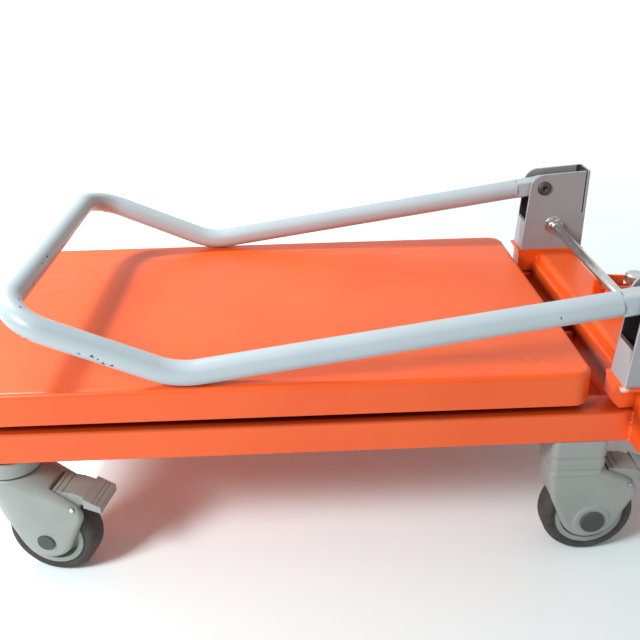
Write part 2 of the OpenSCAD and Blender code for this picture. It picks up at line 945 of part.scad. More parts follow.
// Cylinder with its hinge eye and gland
module cylinder_barrel() {
    eye_half = 15.5;
    color(pump_black)
        along_ram()
            difference() {
                union() {
                    rotate([90, 0, 0])
                        cylinder(d = 26, h = 2 * eye_half, center = true);
                    translate([-13, -eye_half, 0])
                        cube([26, 2 * eye_half, 24]);
                    translate([0, 0, 20])
                        cylinder(d = cylinder_d, h = barrel_l - 20);
                    translate([0, 0, barrel_l - lap])
                        cylinder(d = cylinder_d - 6, h = 8);
                }
                rotate([90, 0, 0])
                    cylinder(d = cylinder_pin_d + 2 * fit_gap, h = 60, center = true);
                translate([0, 0, 60])
                    cylinder(d = ram_d + 2 * fit_gap, h = barrel_l);
            }
}

// Ram, drawn in
module ram_rod() {
    color(zinc)
        along_ram()
            translate([0, 0, 70])
                cylinder(d = ram_d, h = ram_reach - saddle_r - 70);
}

// Cradle on the ram that pushes the lift tube
module ram_saddle() {
    r = cross_tube_d / 2 + ram_play;
    color(pump_black)
        along_ram()
            translate([0, 0, ram_reach])
                rotate([90, 0, 0])
                    linear_extrude(saddle_w, center = true)
                        difference() {
                            union() {
                                circle(saddle_r);
                                translate([-14, -saddle_r])
                                    square([28, saddle_r]);
                            }
                            circle(r);
                            translate([-r, 0])
                                square([2 * r, 40]);
                        }
}

// Zinc plunger with its cap, spring collar and cross pin
module pump_plunger() {
    e = 2;
    z0 = rail_z + 28;
    color(zinc) {
        translate([pump_x, 0, 0])
            rotate_extrude()
                polygon([
                    [0, z0],
                    [plunger_d / 2, z0],
                    [plunger_d / 2, collar_z],
                    [spring_r + spring_wire / 2 + 1, collar_z],
                    [spring_r + spring_wire / 2 + 1, collar_z + collar_h],
                    [plunger_d / 2 - 1, collar_z + collar_h],
                    [plunger_d / 2 - 1, plunger_cap_z],
                    [plunger_cap_d / 2, plunger_cap_z],
                    [plunger_cap_d / 2, plunger_cap_z + plunger_cap_h - e],
                    [plunger_cap_d / 2 - e, plunger_cap_z + plunger_cap_h],
                    [0, plunger_cap_z + plunger_cap_h]]);
        cross_round(pump_x, plunger_pin_z, plunger_pin_d, lever_y0 + lever_t);
    }
}

// Helical return spring of the plunger
rings_per_turn = 12;
wire_sides = 6;
spring_rings = spring_turns * rings_per_turn + 1;
spring_low = spring_z0 + spring_wire / 2 + 0.3;
spring_pitch = (spring_h - spring_wire - 0.6) / spring_turns;
function spring_ring(i) =
    let (a = 360 * i / rings_per_turn)
    [[pump_x + spring_r * cos(a), spring_r * sin(a), spring_low + spring_pitch * i / rings_per_turn],
        [cos(a), sin(a), 0], [0, 0, -1]];
spring_path = [for (i = [0:spring_rings - 1]) spring_ring(i)];
spring_ends = [for (k = [1:wire_sides - 2])
    let (n = (spring_rings - 1) * wire_sides)
    each [[0, k, k + 1], [n, n + k + 1, n + k]]];
spring_least_gap = min([for (i = [0:spring_rings - rings_per_turn - 1])
    norm(spring_path[i + rings_per_turn][0] - spring_path[i][0])]) - spring_wire;
echo(spring_least_gap = spring_least_gap);

module plunger_spring() {
    color(zinc)
        polyhedron(
            ring_points(spring_path, spring_wire / 2, wire_sides),
            concat(skin(spring_rings, wire_sides, 0), spring_ends));
}

// Outline of one side plate of the pedal lever: over the plunger, down, and out under the foot plate
module lever_outline() {
    difference() {
        union() {
            link_shape(lever_x, lever_z, 10, lever_bend_x, lever_z - 4, 9);
            link_shape(lever_bend_x, lever_z - 4, 9, lever_knee_x, lever_foot_z, lever_foot_r);
            link_shape(lever_knee_x, lever_foot_z, lever_foot_r, lever_tip_x, lever_foot_z, lever_foot_r);
        }
        translate([lever_x, lever_z])
            circle(d = lever_pin_d + 2 * fit_gap);
        translate([pump_x - 6, lever_z - plunger_pin_d / 2 - pin_play])
            square([12, plunger_pin_d + 2 * pin_play]);
    }
}

// Forked lever that presses the plunger
module pedal_lever() {
    color(orange) {
        for (s = [-1, 1])
            side_bar(s, lever_y0, lever_y0 + lever_t)
                lever_outline();
        cross_round(lever_bend_x, lever_z - 4, 10, lever_y0);
        cross_round(lever_tip_x, lever_foot_z, 10, lever_y0);
    }
}

// Foot plate with a ribbed tread, seated on the lever
module pedal_pad() {
    plate = 5;
    rib = 2;
    color(pump_black)
        translate([x_end + pedal_reach - pad_l / 2, 0, pad_z]) {
            linear_extrude(plate)
                round_rect(pad_l, pad_w, 8);
            for (i = [-2:2])
                translate([i * 8 - 2, -pad_w / 2 + 8, plate])
                    cube([4, pad_w - 16, rib]);
        }
}

// Small pedal on the lowering valve spindle, beside the lever
module release_pedal() {
    y0 = pump_block_w / 2 - 12;
    arm_y = pad_w / 2 + 4;
    bar_t = 6;
    tip_x = x_end + pedal_reach - 12;
    tip_z = release_z - 6;
    color(zinc) {
        side_round(1, release_x, release_z, release_pin_d, y0, arm_y + 1);
        side_bar(1, arm_y, arm_y + bar_t)
            link_shape(release_x, release_z, 9, tip_x - 18, tip_z, 6);
        side_bar(1, arm_y + bar_t, arm_y + bar_t + 36)
            translate([tip_x - 18, tip_z])
                round_rect(28, 6, 2.5);
    }
}

// Casters: each is drawn with its wheel plane on y = 0 and its trailing side towards +X

module at_swivel(s) {
    translate([king_x, s * king_y, 0])
        rotate([0, 0, s * swivel_yaw])
            children();
}

module at_fixed(s) {
    translate([block_x, s * caster_y, 0])
        children();
}

// Plates under the rails, with the fixed swivel heads and king pins
module caster_plates() {
    color(caster_grey)
        for (s = [-1, 1])
            translate([king_x, s * king_y, 0]) {
                translate([0, s * -plate_in, rail_z - plate_t])
                    linear_extrude(plate_t)
                        round_rect(plate_l, plate_w, plate_corner);
                translate([0, 0, head_z])
                    soft_disc(head_d / 2, rail_z - plate_t - head_z + lap, 2.5);
                translate([0, 0, head_z - king_l])
                    cylinder(d = king_d, h = king_l + 2);
            }
}

// Wheel space, axle bore and brake slot of a housing, around an axle at x = trail
module housing_hollow(trail) {
    inside = 2 * cheek_in;
    skirt = 30;
    wide = 240;
    open = 100;
    translate([trail, 0, wheel_r]) {
        rotate([90, 0, 0])
            cylinder(r = well_r, h = inside, center = true);
        translate([-wide / 2, -cheek_in, -wheel_r - 1])
            cube([wide, inside, wheel_r + 1 + skirt]);
        rotate([90, 0, 0])
            cylinder(d = wheel_axle_d, h = 2 * housing_w, center = true);
        translate([brake_slot, -cheek_in, skirt - 1])
            cube([open, inside, open]);
        translate([brake_out, 0, brake_up])
            rotate([90, 0, 0])
                cylinder(d = brake_pin_d + 2 * fit_gap, h = 2 * housing_w, center = true);
    }
}

// Egg-shaped shell over a wheel: a low lobe round the axle, two shoulders and a rounded spine
module housing_shell(trail) {
    half = housing_w / 2;
    e = 5;
    translate([trail - 2, 0, wheel_r + 8])
        soft_drum(shell_low_r, half, e);
    translate([trail - 31, 0, wheel_r + 34])
        soft_drum(shell_shoulder_r, half, e);
    translate([trail + 29, 0, wheel_r + 36])
        soft_drum(shell_shoulder_r, half, e);
    translate([trail + 12, 0, wheel_r + 46])
        soft_drum(shell_spine_r, half / 2, e);
}

// Moulded housing of a swivelling caster
module swivel_housing(s) {
    ring_h = 10;
    color(caster_grey)
        at_swivel(s)
            difference() {
                hull() {
                    translate([0, 0, head_z - ring_h])
                        soft_disc(head_d / 2 + 0.5, ring_h - head_seam, 3);
                    housing_shell(swivel_trail);
                }
                housing_hollow(swivel_trail);
                translate([0, 0, head_z - king_l - 2])
                    cylinder(d = king_d + 2 * fit_gap, h = 2 * king_l);
            }
}

module swivel_housing_left() { swivel_housing(-1); }
module swivel_housing_right() { swivel_housing(1); }

// Moulded housing of a fixed caster, with its grooved mounting block
module fixed_housing(s) {
    half = housing_w / 2;
    groove = 1.2;
    groove_h = 6;
    corner = 7;
    neck_x = block_size_x - 2 * groove;
    neck_y = housing_w + 2 - 2 * groove;
    block_z = rail_z - block_drop;
    color(caster_grey)
        at_fixed(s)
            difference() {
                union() {
                    translate([0, 0, block_z])
                        linear_extrude(block_drop)
                            round_rect(block_size_x, housing_w + 2, corner);
                    hull() {
                        translate([0, 0, block_z - 2])
                            linear_extrude(4)
                                round_rect(block_size_x, housing_w, corner, $fn = 32);
                        housing_shell(fixed_trail);
                    }
                    translate([fixed_trail, 0, wheel_r])
                        soft_drum(cap_ring_r, half + 1.5, 1);
                }
                for (drop = [26, 41])
                    translate([0, 0, rail_z - drop])
                        difference() {
                            linear_extrude(groove_h)
                                round_rect(block_size_x + 20, housing_w + 20, corner);
                            translate([0, 0, -1])
                                linear_extrude(groove_h + 2)
                                    round_rect(neck_x, neck_y, corner - groove);
                        }
                housing_hollow(fixed_trail);
            }
}

module fixed_housing_left() { fixed_housing(-1); }
module fixed_housing_right() { fixed_housing(1); }

// Axle with its dark end caps, centred on the wheel plane
module wheel_axle(half, cap_d) {
    cap_t = 2;
    color(cap_dark) {
        rotate([90, 0, 0])
            cylinder(d = wheel_axle_d, h = 2 * half, center = true);
        for (s = [-1, 1])
            translate([0, s * (half + cap_t / 2), 0])
                rotate([90, 0, 0])
                    cylinder(d = cap_d, h = cap_t, center = true);
    }
}

module fixed_axles() {
    for (s = [-1, 1])
        at_fixed(s)
            translate([fixed_trail, 0, wheel_r])
                wheel_axle(housing_w / 2 + 1.5, axle_cap_d + 6);
}

module swivel_axle(s) {
    at_swivel(s)
        translate([swivel_trail, 0, wheel_r])
            wheel_axle(housing_w / 2, axle_cap_d);
}

module swivel_axle_left() { swivel_axle(-1); }
module swivel_axle_right() { swivel_axle(1); }

// Rubber tyre with a rounded tread
module tyre() {
    seat_r = wheel_r - 13;
    e = 8;
    color(tyre_dark)
        translate([0, 0, wheel_r])
            rotate([90, 0, 0])
                rotate_extrude()
                    difference() {
                        union() {
                            translate([0, -tyre_w / 2])
                                square([wheel_r - e, tyre_w]);
                            translate([0, e - tyre_w / 2])
                                square([wheel_r, tyre_w - 2 * e]);
                            for (s = [-1, 1])
                                translate([wheel_r - e, s * (tyre_w / 2 - e)])
                                    circle(e);
                        }
                        translate([-1, -tyre_w])
                            square([seat_r + 1, 2 * tyre_w]);
                    }
}

// Plastic wheel centre with a recessed web
module hub() {
    seat_r = wheel_r - 13;
    half = tyre_w / 2 + 1;
    color(nylon_white)
        translate([0, 0, wheel_r])
            rotate([90, 0, 0])
                rotate_extrude()
                    polygon([
                        [wheel_axle_d / 2 + fit_gap, -half],
                        [wheel_axle_d / 2 + 7, -half],
                        [wheel_axle_d / 2 + 7, -4],
                        [seat_r - 6, -4],
                        [seat_r - 6, 1 - half],
                        [seat_r, 1 - half],
                        [seat_r, half - 1],
                        [seat_r - 6, half - 1],
                        [seat_r - 6, 4],
                        [wheel_axle_d / 2 + 7, 4],
                        [wheel_axle_d / 2 + 7, half],
                        [wheel_axle_d / 2 + fit_gap, half]]);
}

module at_wheel(front, s) {
    if (front)
        at_swivel(s)
            translate([swivel_trail, 0, 0])
                children();
    else
        at_fixed(s)
            translate([fixed_trail, 0, 0])
                children();
}

module tyre_front_left() { at_wheel(true, -1) tyre(); }
module tyre_front_right() { at_wheel(true, 1) tyre(); }
module tyre_rear_left() { at_wheel(false, -1) tyre(); }
module tyre_rear_right() { at_wheel(false, 1) tyre(); }
module hub_front_left() { at_wheel(true, -1) hub(); }
module hub_front_right() { at_wheel(true, 1) hub(); }
module hub_rear_left() { at_wheel(false, -1) hub(); }
module hub_rear_right() { at_wheel(false, 1) hub(); }

// Brake pedal: a hub and flap between the cheeks, with its pin, a wide tip and two pairs of grooves
module brake() {
    half = cheek_in - run_gap;
    groove_w = 1.2;
    groove_spots = [[17, 62.8], [24, 62.2], [58, 53.9], [62, 52.1]];
    flap_top = [[13, 57], [13, 64], [36, 62], [52, 57], [66, 50]];
    flap_under = [[66, 43], [50, 48], [34, 50]];
    tip = [[48, 47.6], [48, 59.2], [67, 50.6], [67, 42.4]];
    color(caster_grey)
        translate([0, 0, wheel_r])
            difference() {
                union() {
                    rotate([90, 0, 0])
                        linear_extrude(2 * half, center = true) {
                            translate([brake_out, brake_up])
                                circle(d = brake_hub_d);
                            polygon(concat(flap_top, flap_under));
                        }
                    translate([brake_out, 0, brake_up])
                        rotate([90, 0, 0])
                            cylinder(d = brake_pin_d, h = housing_w + 1.2, center = true);
                    rotate([90, 0, 0])
                        linear_extrude(brake_w, center = true)
                            polygon(tip);
                }
                for (g = groove_spots)
                    translate([g.x, -brake_w, g.y])
                        cube([groove_w, 2 * brake_w, 5]);
            }
}

module brake_front_left() { at_wheel(true, -1) brake(); }
module brake_front_right() { at_wheel(true, 1) brake(); }
module brake_rear_left() { at_wheel(false, -1) brake(); }
module brake_rear_right() { at_wheel(false, 1) brake(); }

side_rail_left();
side_rail_right();
front_cross_channel();
end_plate();
handle_beam();
post_feet();
handle_bracket_left();
handle_bracket_right();
tie_rod();
tie_rod_nuts();
handle_pivot_bolts();
base_pins();
cylinder_clevis();
pump_tank();
pump_block();
tank_plug();
caster_plates();
fixed_housing_left();
fixed_housing_right();
fixed_axles();
outer_arms();
outer_cross_tube();
outer_arm_pins();
inner_arms();
inner_cross_tubes();
base_roller_axles();
platform_deck();
platform_tracks();
platform_lugs();
platform_pins();
base_roller_left();
base_roller_right();
platform_roller_left();
platform_roller_right();
handle_tube();
handle_end_blocks();
cylinder_barrel();
ram_rod();
ram_saddle();
pump_plunger();
plunger_spring();
pedal_lever();
pedal_pad();
release_pedal();
swivel_housing_left();
swivel_housing_right();
swivel_axle_left();
swivel_axle_right();
tyre_front_left();
tyre_front_right();
tyre_rear_left();
tyre_rear_right();
hub_front_left();
hub_front_right();
hub_rear_left();
hub_rear_right();
brake_front_left();
brake_front_right();
brake_rear_left();
brake_rear_right();
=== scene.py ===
# %% [markdown]
# # A scissor lift-table trolley
# The object is a low lift table on casters: an orange sheet-steel platform over a railed base, with a
# bent tube handle folded down on it. The CAD frame already holds every solid in its right place.
# This lesson dresses that frame: it rounds the edges, adds what a CAD solid lacks, and paints it.

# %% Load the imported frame
import json
import math

import bmesh
import bpy
from mathutils import Matrix, Vector


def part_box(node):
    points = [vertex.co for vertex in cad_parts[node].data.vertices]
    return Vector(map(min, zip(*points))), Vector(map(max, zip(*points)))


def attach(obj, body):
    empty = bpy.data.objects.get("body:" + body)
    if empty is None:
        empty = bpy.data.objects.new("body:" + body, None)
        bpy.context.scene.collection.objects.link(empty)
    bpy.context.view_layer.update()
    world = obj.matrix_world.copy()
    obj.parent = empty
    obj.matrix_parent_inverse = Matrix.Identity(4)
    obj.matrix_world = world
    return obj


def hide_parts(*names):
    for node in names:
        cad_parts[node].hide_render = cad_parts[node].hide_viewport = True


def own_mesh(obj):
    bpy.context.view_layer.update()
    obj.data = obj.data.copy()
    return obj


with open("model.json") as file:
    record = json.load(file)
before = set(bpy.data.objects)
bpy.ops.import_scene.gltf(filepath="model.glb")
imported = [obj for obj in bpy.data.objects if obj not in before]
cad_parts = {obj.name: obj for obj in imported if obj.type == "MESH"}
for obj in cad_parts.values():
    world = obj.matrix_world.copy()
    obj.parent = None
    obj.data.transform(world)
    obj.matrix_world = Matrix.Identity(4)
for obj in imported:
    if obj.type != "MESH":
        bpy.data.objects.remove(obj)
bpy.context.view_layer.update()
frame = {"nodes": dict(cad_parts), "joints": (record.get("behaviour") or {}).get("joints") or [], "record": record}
nodes = frame["nodes"]
record = frame["record"]
body_of = {n: b for b, members in record["behaviour"]["bodies"].items() for n in members}
slot_of = {p["node"]: p["material_slot"] for p in record["subparts"]}
joint_of = {j["child"]: j for j in frame["joints"]}
MM = 0.001


def span(name):
    """A node's lowest and highest corners at rest, in millimetres."""
    low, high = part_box(name)
    return Vector(low) / MM, Vector(high) / MM


# %% [markdown]
# ## The camera
# The photograph was taken from the side, a little above the platform. Its camera was worked out from
# the straight edges of the platform, rail and brackets. A camera needs its place, the direction that
# it looks in, how far it leans, and its focal length in pixels of a 640 pixel picture.

# %% Set up the camera
scene = bpy.context.scene
eye = Vector((-70.7, -851.7, 624.8)) * MM
yaw, pitch, roll = (math.radians(a) for a in (1.44, 26.09, -1.33))
focal_px, picture_px, sensor = 774.4, 640, 36.0
ahead = Vector((math.sin(yaw) * math.cos(pitch), math.cos(yaw) * math.cos(pitch), -math.sin(pitch)))
level = Vector((math.cos(yaw), -math.sin(yaw), 0))
above = level.cross(ahead)
right = math.cos(roll) * level + math.sin(roll) * above
upright = -math.sin(roll) * level + math.cos(roll) * above
lens = bpy.data.cameras.new("photo_camera")
lens.sensor_width = sensor
lens.lens = sensor * focal_px / picture_px
lens.dof.use_dof = False
camera = bpy.data.objects.new("photo_camera", lens)
camera.matrix_world = Matrix.Translation(eye) @ Matrix((right, upright, -ahead)).transposed().to_4x4()
scene.collection.objects.link(camera)
scene.camera = camera
print("camera lens", round(lens.lens, 2), "mm")

# %% [markdown]
# ## Small tools for nodes
# Colours are written as the hex codes that a screen shows, and shaders want linear light, so one
# function turns one into the other. A second one adds a node: its settings, and for each input either
# a value or the output that feeds it. It serves shaders and Geometry Nodes alike. Every finish starts
# with a material and its coordinates, and ends with a colour, a gloss and mostly a bump.

# %% Colour and node helpers
def linear(code):
    """A hex colour such as #E8572B as linear red, green and blue, with alpha 1."""
    channels = [int(code[i:i + 2], 16) / 255 for i in (1, 3, 5)]
    return [c / 12.92 if c <= 0.04045 else ((c + 0.055) / 1.055) ** 2.4 for c in channels] + [1.0]


def add(tree, kind, inputs=None, **settings):
    """Adds one node, with its settings, and with a value or a link on each named input."""
    node = tree.nodes.new(kind)
    for key, value in settings.items():
        setattr(node, key, value)
    for key, value in (inputs or {}).items():
        if isinstance(value, bpy.types.NodeSocket):
            tree.links.new(value, node.inputs[key])
        else:
            node.inputs[key].default_value = value
    return node


def new_finish(name):
    """A new material, its tree, its shader and its Object coordinates."""
    material = bpy.data.materials.new(name)
    material.use_nodes = True
    tree = material.node_tree
    place = add(tree, "ShaderNodeTexCoord").outputs["Object"]
    return material, tree, tree.nodes["Principled BSDF"], place


def finished(shader, colour, gloss_by, rough, bump=None):
    """Links the colour, the roughness between two limits, and a bump of a height, a strength and a depth in mm."""
    tree = shader.id_data
    tree.links.new(colour, shader.inputs["Base Color"])
    gloss = add(tree, "ShaderNodeMapRange", {"Value": gloss_by, "To Min": rough[0], "To Max": rough[1]})
    tree.links.new(gloss.outputs[0], shader.inputs["Roughness"])
    if bump:
        height, strength, depth = bump
        rise = add(tree, "ShaderNodeBump", {"Height": height, "Strength": strength, "Distance": depth * MM})
        tree.links.new(rise.outputs[0], shader.inputs["Normal"])


print("linear orange", [round(c, 3) for c in linear("#E8572B")])

# %% [markdown]
# ## Orange powder coat
# The frame and platform are steel with a baked powder coat. Such a coat is a thick, even film: a soft
# gloss, a faint orange-peel ripple a few millimetres wide, cloudy tone where it has aged, fine rubs
# from loads, and chips on the edges that show dark steel. The edge chips read an attribute named edge,
# which the rounding tool further down writes on every rounded corner.

# %% Orange powder coat
# Baked powder coat. To the eye: a deep orange under a soft gloss, rippled, clouded, rubbed and darker in patches
deck_low, deck_high = span("platform_deck")
beam_low, beam_high = span("handle_beam")
orange, tree, shader, place = new_finish("orange_powder_coat_on_steel")
cloud = add(tree, "ShaderNodeTexNoise", {"Vector": place, "Scale": 1 / (110 * MM), "Detail": 3.0})
tone = add(tree, "ShaderNodeMix", {0: cloud.outputs["Fac"], 6: linear("#EC5414"), 7: linear("#F8651E")},
           data_type="RGBA")
stretch = add(tree, "ShaderNodeMapping", {"Vector": place, "Rotation": (0, 0, 0.5), "Scale": (1, 9, 9)})
rub = add(tree, "ShaderNodeTexNoise", {"Vector": stretch.outputs[0], "Scale": 1 / (70 * MM), "Detail": 8.0,
                                       "Roughness": 0.7})
rubbed = add(tree, "ShaderNodeMapRange", {"Value": rub.outputs["Fac"], "From Min": 0.62, "From Max": 0.8,
                                          "To Max": 0.3})
pale = add(tree, "ShaderNodeMix", {0: rubbed.outputs[0], 6: tone.outputs[2], 7: linear("#FA8A58")},
           data_type="RGBA")
print("orange tones, clouds and rubs")

# %% Dark patches, painted shade and a painted highlight on the orange coat
# Darker broken patches lie on the platform's top, along its near edge and on its left. Painted shade lies on the
# plate under the beam and on the rail tops, where the platform shades them, and a painted highlight on a foot corner
near_edge, top = deck_low.y, deck_high.z
rail_low, rail_high = span("side_rail_right")
feet_low, feet_high = span("post_feet")
# Darker patches on the platform's top: three along its near edge and two on its left
dark_patches = [((5, near_edge + 22, top), (17, 5, 4)), ((105, near_edge + 44, top), (30, 6, 4)),
           ((160, near_edge + 35, top), (34, 7, 4)), ((-345, -60, top), (8, 8, 4)), ((-250, 120, top), (6, 14, 4))]
rail_mid = (rail_low.x + rail_high.x) / 2
# Painted shade: spots on the plate under the beam and on the rail tops, where the platform shades them
painted_shade_spots = [((beam_low.x - 6, 0, beam_low.z - 5), (7, 260, 13)),
          ((rail_mid, 12 - rail_high.y, rail_high.z), (420, 14, 2.5)),
          ((rail_mid, rail_high.y - 12, rail_high.z), (420, 14, 2.5))]
# Painted highlight: a near-white spot on one corner of a foot
bright = [((feet_low.x + 2, feet_low.y + 1, feet_high.z), (4, 4, 3))]


def closeness(spots):
    """1 in the middle of any spot, and 0 outside: each is a centre and its reach along X, Y and Z."""
    total = None
    for centre, reach in spots:
        away = add(tree, "ShaderNodeVectorMath", {0: place, 1: [c * MM for c in centre]}, operation="SUBTRACT")
        shares = add(tree, "ShaderNodeVectorMath", {0: away.outputs[0], 1: [r * MM for r in reach]}, operation="DIVIDE")
        far_off = add(tree, "ShaderNodeVectorMath", {0: shares.outputs[0]}, operation="LENGTH")
        here = add(tree, "ShaderNodeMapRange", {"Value": far_off.outputs["Value"], "From Min": 1.6, "From Max": 0.2})
        total = here.outputs[0] if total is None else add(tree, "ShaderNodeMath", {0: total, 1: here.outputs[0]},
                                                          operation="MAXIMUM").outputs[0]
    return total


patch_grain = add(tree, "ShaderNodeTexNoise", {"Vector": place, "Scale": 1 / (9 * MM), "Detail": 7.0, "Roughness": 0.7})
broken = add(tree, "ShaderNodeMapRange", {"Value": patch_grain.outputs["Fac"], "From Min": 0.42, "From Max": 0.72,
                                          "To Max": 0.6})
# A broken darker brown in those patches
patch_mask = add(tree, "ShaderNodeMath", {0: closeness(dark_patches), 1: broken.outputs[0]}, operation="MULTIPLY")
patched = add(tree, "ShaderNodeMix", {0: patch_mask.outputs[0], 6: pale.outputs[2], 7: linear("#8A4632")},
             data_type="RGBA")
# Painted shade: these spots turn a dark red-brown, and their reflection is dulled
painted_shade_mask = closeness(painted_shade_spots)
with_painted_shade = add(tree, "ShaderNodeMix", {0: painted_shade_mask, 6: patched.outputs[2], 7: linear("#6E1E0B")}, data_type="RGBA")
dull = add(tree, "ShaderNodeMapRange", {"Value": painted_shade_mask, "To Min": 0.5, "To Max": 0.08})
tree.links.new(dull.outputs[0], shader.inputs["Specular IOR Level"])
# The painted highlight on the foot corner, mixed in as a near-white colour
pale_marks = add(tree, "ShaderNodeMix", {0: closeness(bright), 6: with_painted_shade.outputs[2], 7: linear("#EDE6E0")}, data_type="RGBA")
print(len(dark_patches), "smudges,", len(painted_shade_spots), "painted shade spots and", len(bright), "painted highlight")

# %% Chips, flecks of dirt, gloss and ripple of the orange coat
# Chips lie only on rounded edges, in some stretches of them. Flecks lie in stained patches
edge = add(tree, "ShaderNodeAttribute", attribute_name="edge")
chip_grain = add(tree, "ShaderNodeTexNoise", {"Vector": place, "Scale": 1 / (7 * MM), "Detail": 4.0})
chip_area = add(tree, "ShaderNodeTexNoise", {"Vector": place, "Scale": 1 / (60 * MM), "Detail": 1.0})
chip_sum = add(tree, "ShaderNodeMath", {0: chip_grain.outputs["Fac"], 1: chip_area.outputs["Fac"]},
               operation="ADD")
chip_lot = add(tree, "ShaderNodeMapRange", {"Value": chip_sum.outputs[0], "From Min": 1.27, "From Max": 1.33})
chips = add(tree, "ShaderNodeMath", {0: chip_lot.outputs[0], 1: edge.outputs["Fac"]}, operation="MULTIPLY")
chipped = add(tree, "ShaderNodeMix", {0: chips.outputs[0], 6: pale_marks.outputs[2], 7: linear("#6E5348")},
              data_type="RGBA")
fleck = add(tree, "ShaderNodeTexNoise", {"Vector": place, "Scale": 1 / (4 * MM), "Detail": 2.0})
flecks = add(tree, "ShaderNodeMapRange", {"Value": fleck.outputs["Fac"], "From Min": 0.66, "From Max": 0.74})
stained = add(tree, "ShaderNodeMapRange", {"Value": chip_area.outputs["Fac"], "From Min": 0.5, "From Max": 0.65,
                                           "To Max": 0.35})
dirt = add(tree, "ShaderNodeMath", {0: flecks.outputs[0], 1: stained.outputs[0]}, operation="MULTIPLY")
coat = add(tree, "ShaderNodeMix", {0: dirt.outputs[0], 6: chipped.outputs[2], 7: linear("#A83A16")},
           data_type="RGBA")
matt = add(tree, "ShaderNodeMapRange", {"Value": rub.outputs["Fac"], "From Min": 0.3, "From Max": 0.75})
peel = add(tree, "ShaderNodeTexNoise", {"Vector": place, "Scale": 1 / (5 * MM), "Detail": 1.0})
finished(shader, coat.outputs[2], matt.outputs[0], (0.3, 0.46), (peel.outputs["Fac"], 0.25, 0.12))
print("finish", orange.name)

# %% [markdown]
# ## The path of the handle
# The handle is one bent tube: a straight leg, a kink, a short rise, a corner, then the same backwards
# on the other side. A circle could be swept along a drawn curve, but the bends have exact radii, so
# the path is worked out from the CAD's own sizes. The pivot and the width are read from the frame. The
# path comes before the paint, because the knocks in the paint are placed along it.

# %% Path of the tube
tube_d, leg_l, kick_l, kink_r, corner_r = 25.4, 468, 176, 80, 46
leg_slope, kick_slope = math.radians(8.15), math.radians(23.7)
socket = 35
bend_steps = 30
leg_y = span("handle_tube")[1].y - tube_d / 2
pivot = Vector(joint_of["handle"]["pos_m"]) / MM
near_pivot = Vector((pivot.x, -leg_y, pivot.z))
leg_way = Vector((-math.cos(leg_slope), 0, -math.sin(leg_slope)))
leg_up = Vector((-math.sin(leg_slope), 0, math.cos(leg_slope)))
kick_way = Vector((-math.cos(kick_slope), 0, math.sin(kick_slope)))
across = Vector((0, 1, 0))
kink_turn = leg_slope + kick_slope
cut = kink_r * math.tan(kink_turn / 2)


def bend(start, radius, way, inward, turn):
    """Points of an arc that leaves start along way and turns inward."""
    angles = [turn * i / bend_steps for i in range(bend_steps + 1)]
    return [start + radius * (math.sin(a) * way + (1 - math.cos(a)) * inward) for a in angles]


kink = bend(near_pivot + (leg_l - cut) * leg_way, kink_r, leg_way, leg_up, kink_turn)
corner = bend(kink[-1] + (kick_l - cut - corner_r) * kick_way, corner_r, kick_way, across, math.pi / 2)
near_half = [near_pivot + d * leg_way for d in (socket, socket + 1)] + kink + corner
tube_path = near_half + [Vector((p.x, -p.y, p.z)) for p in reversed(near_half)]


def on_tube(along, round_deg):
    """A point on the tube's skin: a distance along it from the near socket, and degrees from its top."""
    left = along
    for a, b in zip(tube_path, tube_path[1:]):
        step = (b - a).length
        if left <= step:
            break
        left -= step
    way = (b - a).normalized()
    up = (Vector((0, 0, 1)) - way.z * way).normalized()
    turn = math.radians(round_deg)
    return a + left * way + tube_d / 2 * (math.cos(turn) * up + math.sin(turn) * way.cross(up))


print("tube path", round(sum((b - a).length for a, b in zip(tube_path, tube_path[1:]))), "mm long")

# %% [markdown]
# ## Blue-grey and mid-grey paint
# The handle has a pale blue-grey enamel and the brackets a darker grey one. Both are sprayed paint:
# smoother than the powder coat, with small dark specks, and the handle has lost paint where it was
# knocked. Each knock is a small ball in space on the tube's skin, and a noise makes its rim ragged.

# %% Handle enamel
# Sprayed enamel. To the eye: pale, even and smooth, with a few ragged dark spots of bare steel
knocks = [(573, -130, 1.4), (579, -125, 0.7), (525, -105, 0.7), (513, -100, 1.1), (507, -105, 0.5), (501, -120, 1.2),
          (493, -115, 0.9), (723, 60, 1.3), (703, 60, 0.8), (663, 95, 1.0), (607, 45, 0.9), (591, 10, 0.8),
          (1089, -10, 0.7), (971, 155, 2.6), (61, -85, 0.5)]
handle_paint, tree, shader, place = new_finish("blue_grey_enamel_on_steel_tube")
cloud = add(tree, "ShaderNodeTexNoise", {"Vector": place, "Scale": 1 / (80 * MM), "Detail": 4.0})
tone = add(tree, "ShaderNodeMix", {0: cloud.outputs["Fac"], 6: linear("#AEBEC5"), 7: linear("#BECCD1")},
           data_type="RGBA")
ragged = add(tree, "ShaderNodeTexNoise", {"Vector": place, "Scale": 1 / (1.7 * MM), "Detail": 3.0})
spread = add(tree, "ShaderNodeMapRange", {"Value": ragged.outputs["Fac"], "To Min": -3.2 * MM, "To Max": 3.2 * MM})
speck = add(tree, "ShaderNodeTexNoise", {"Vector": place, "Scale": 1 / (6 * MM), "Detail": 2.0})
bare_steel_and_shade = add(tree, "ShaderNodeMapRange", {"Value": speck.outputs["Fac"], "From Min": 0.76, "From Max": 0.8,
                                        "To Max": 0.4}).outputs[0]
for along, round_deg, size in knocks:
    gap = add(tree, "ShaderNodeVectorMath", {0: place, 1: on_tube(along, round_deg) * MM}, operation="DISTANCE")
    wavy = add(tree, "ShaderNodeMath", {0: gap.outputs["Value"], 1: spread.outputs[0]}, operation="ADD")
    inside = add(tree, "ShaderNodeMapRange", {"Value": wavy.outputs[0], "From Min": (size + 0.7) * MM,
                                              "From Max": size * MM})
    bare_steel_and_shade = add(tree, "ShaderNodeMath", {0: bare_steel_and_shade, 1: inside.outputs[0]}, operation="MAXIMUM").outputs[0]
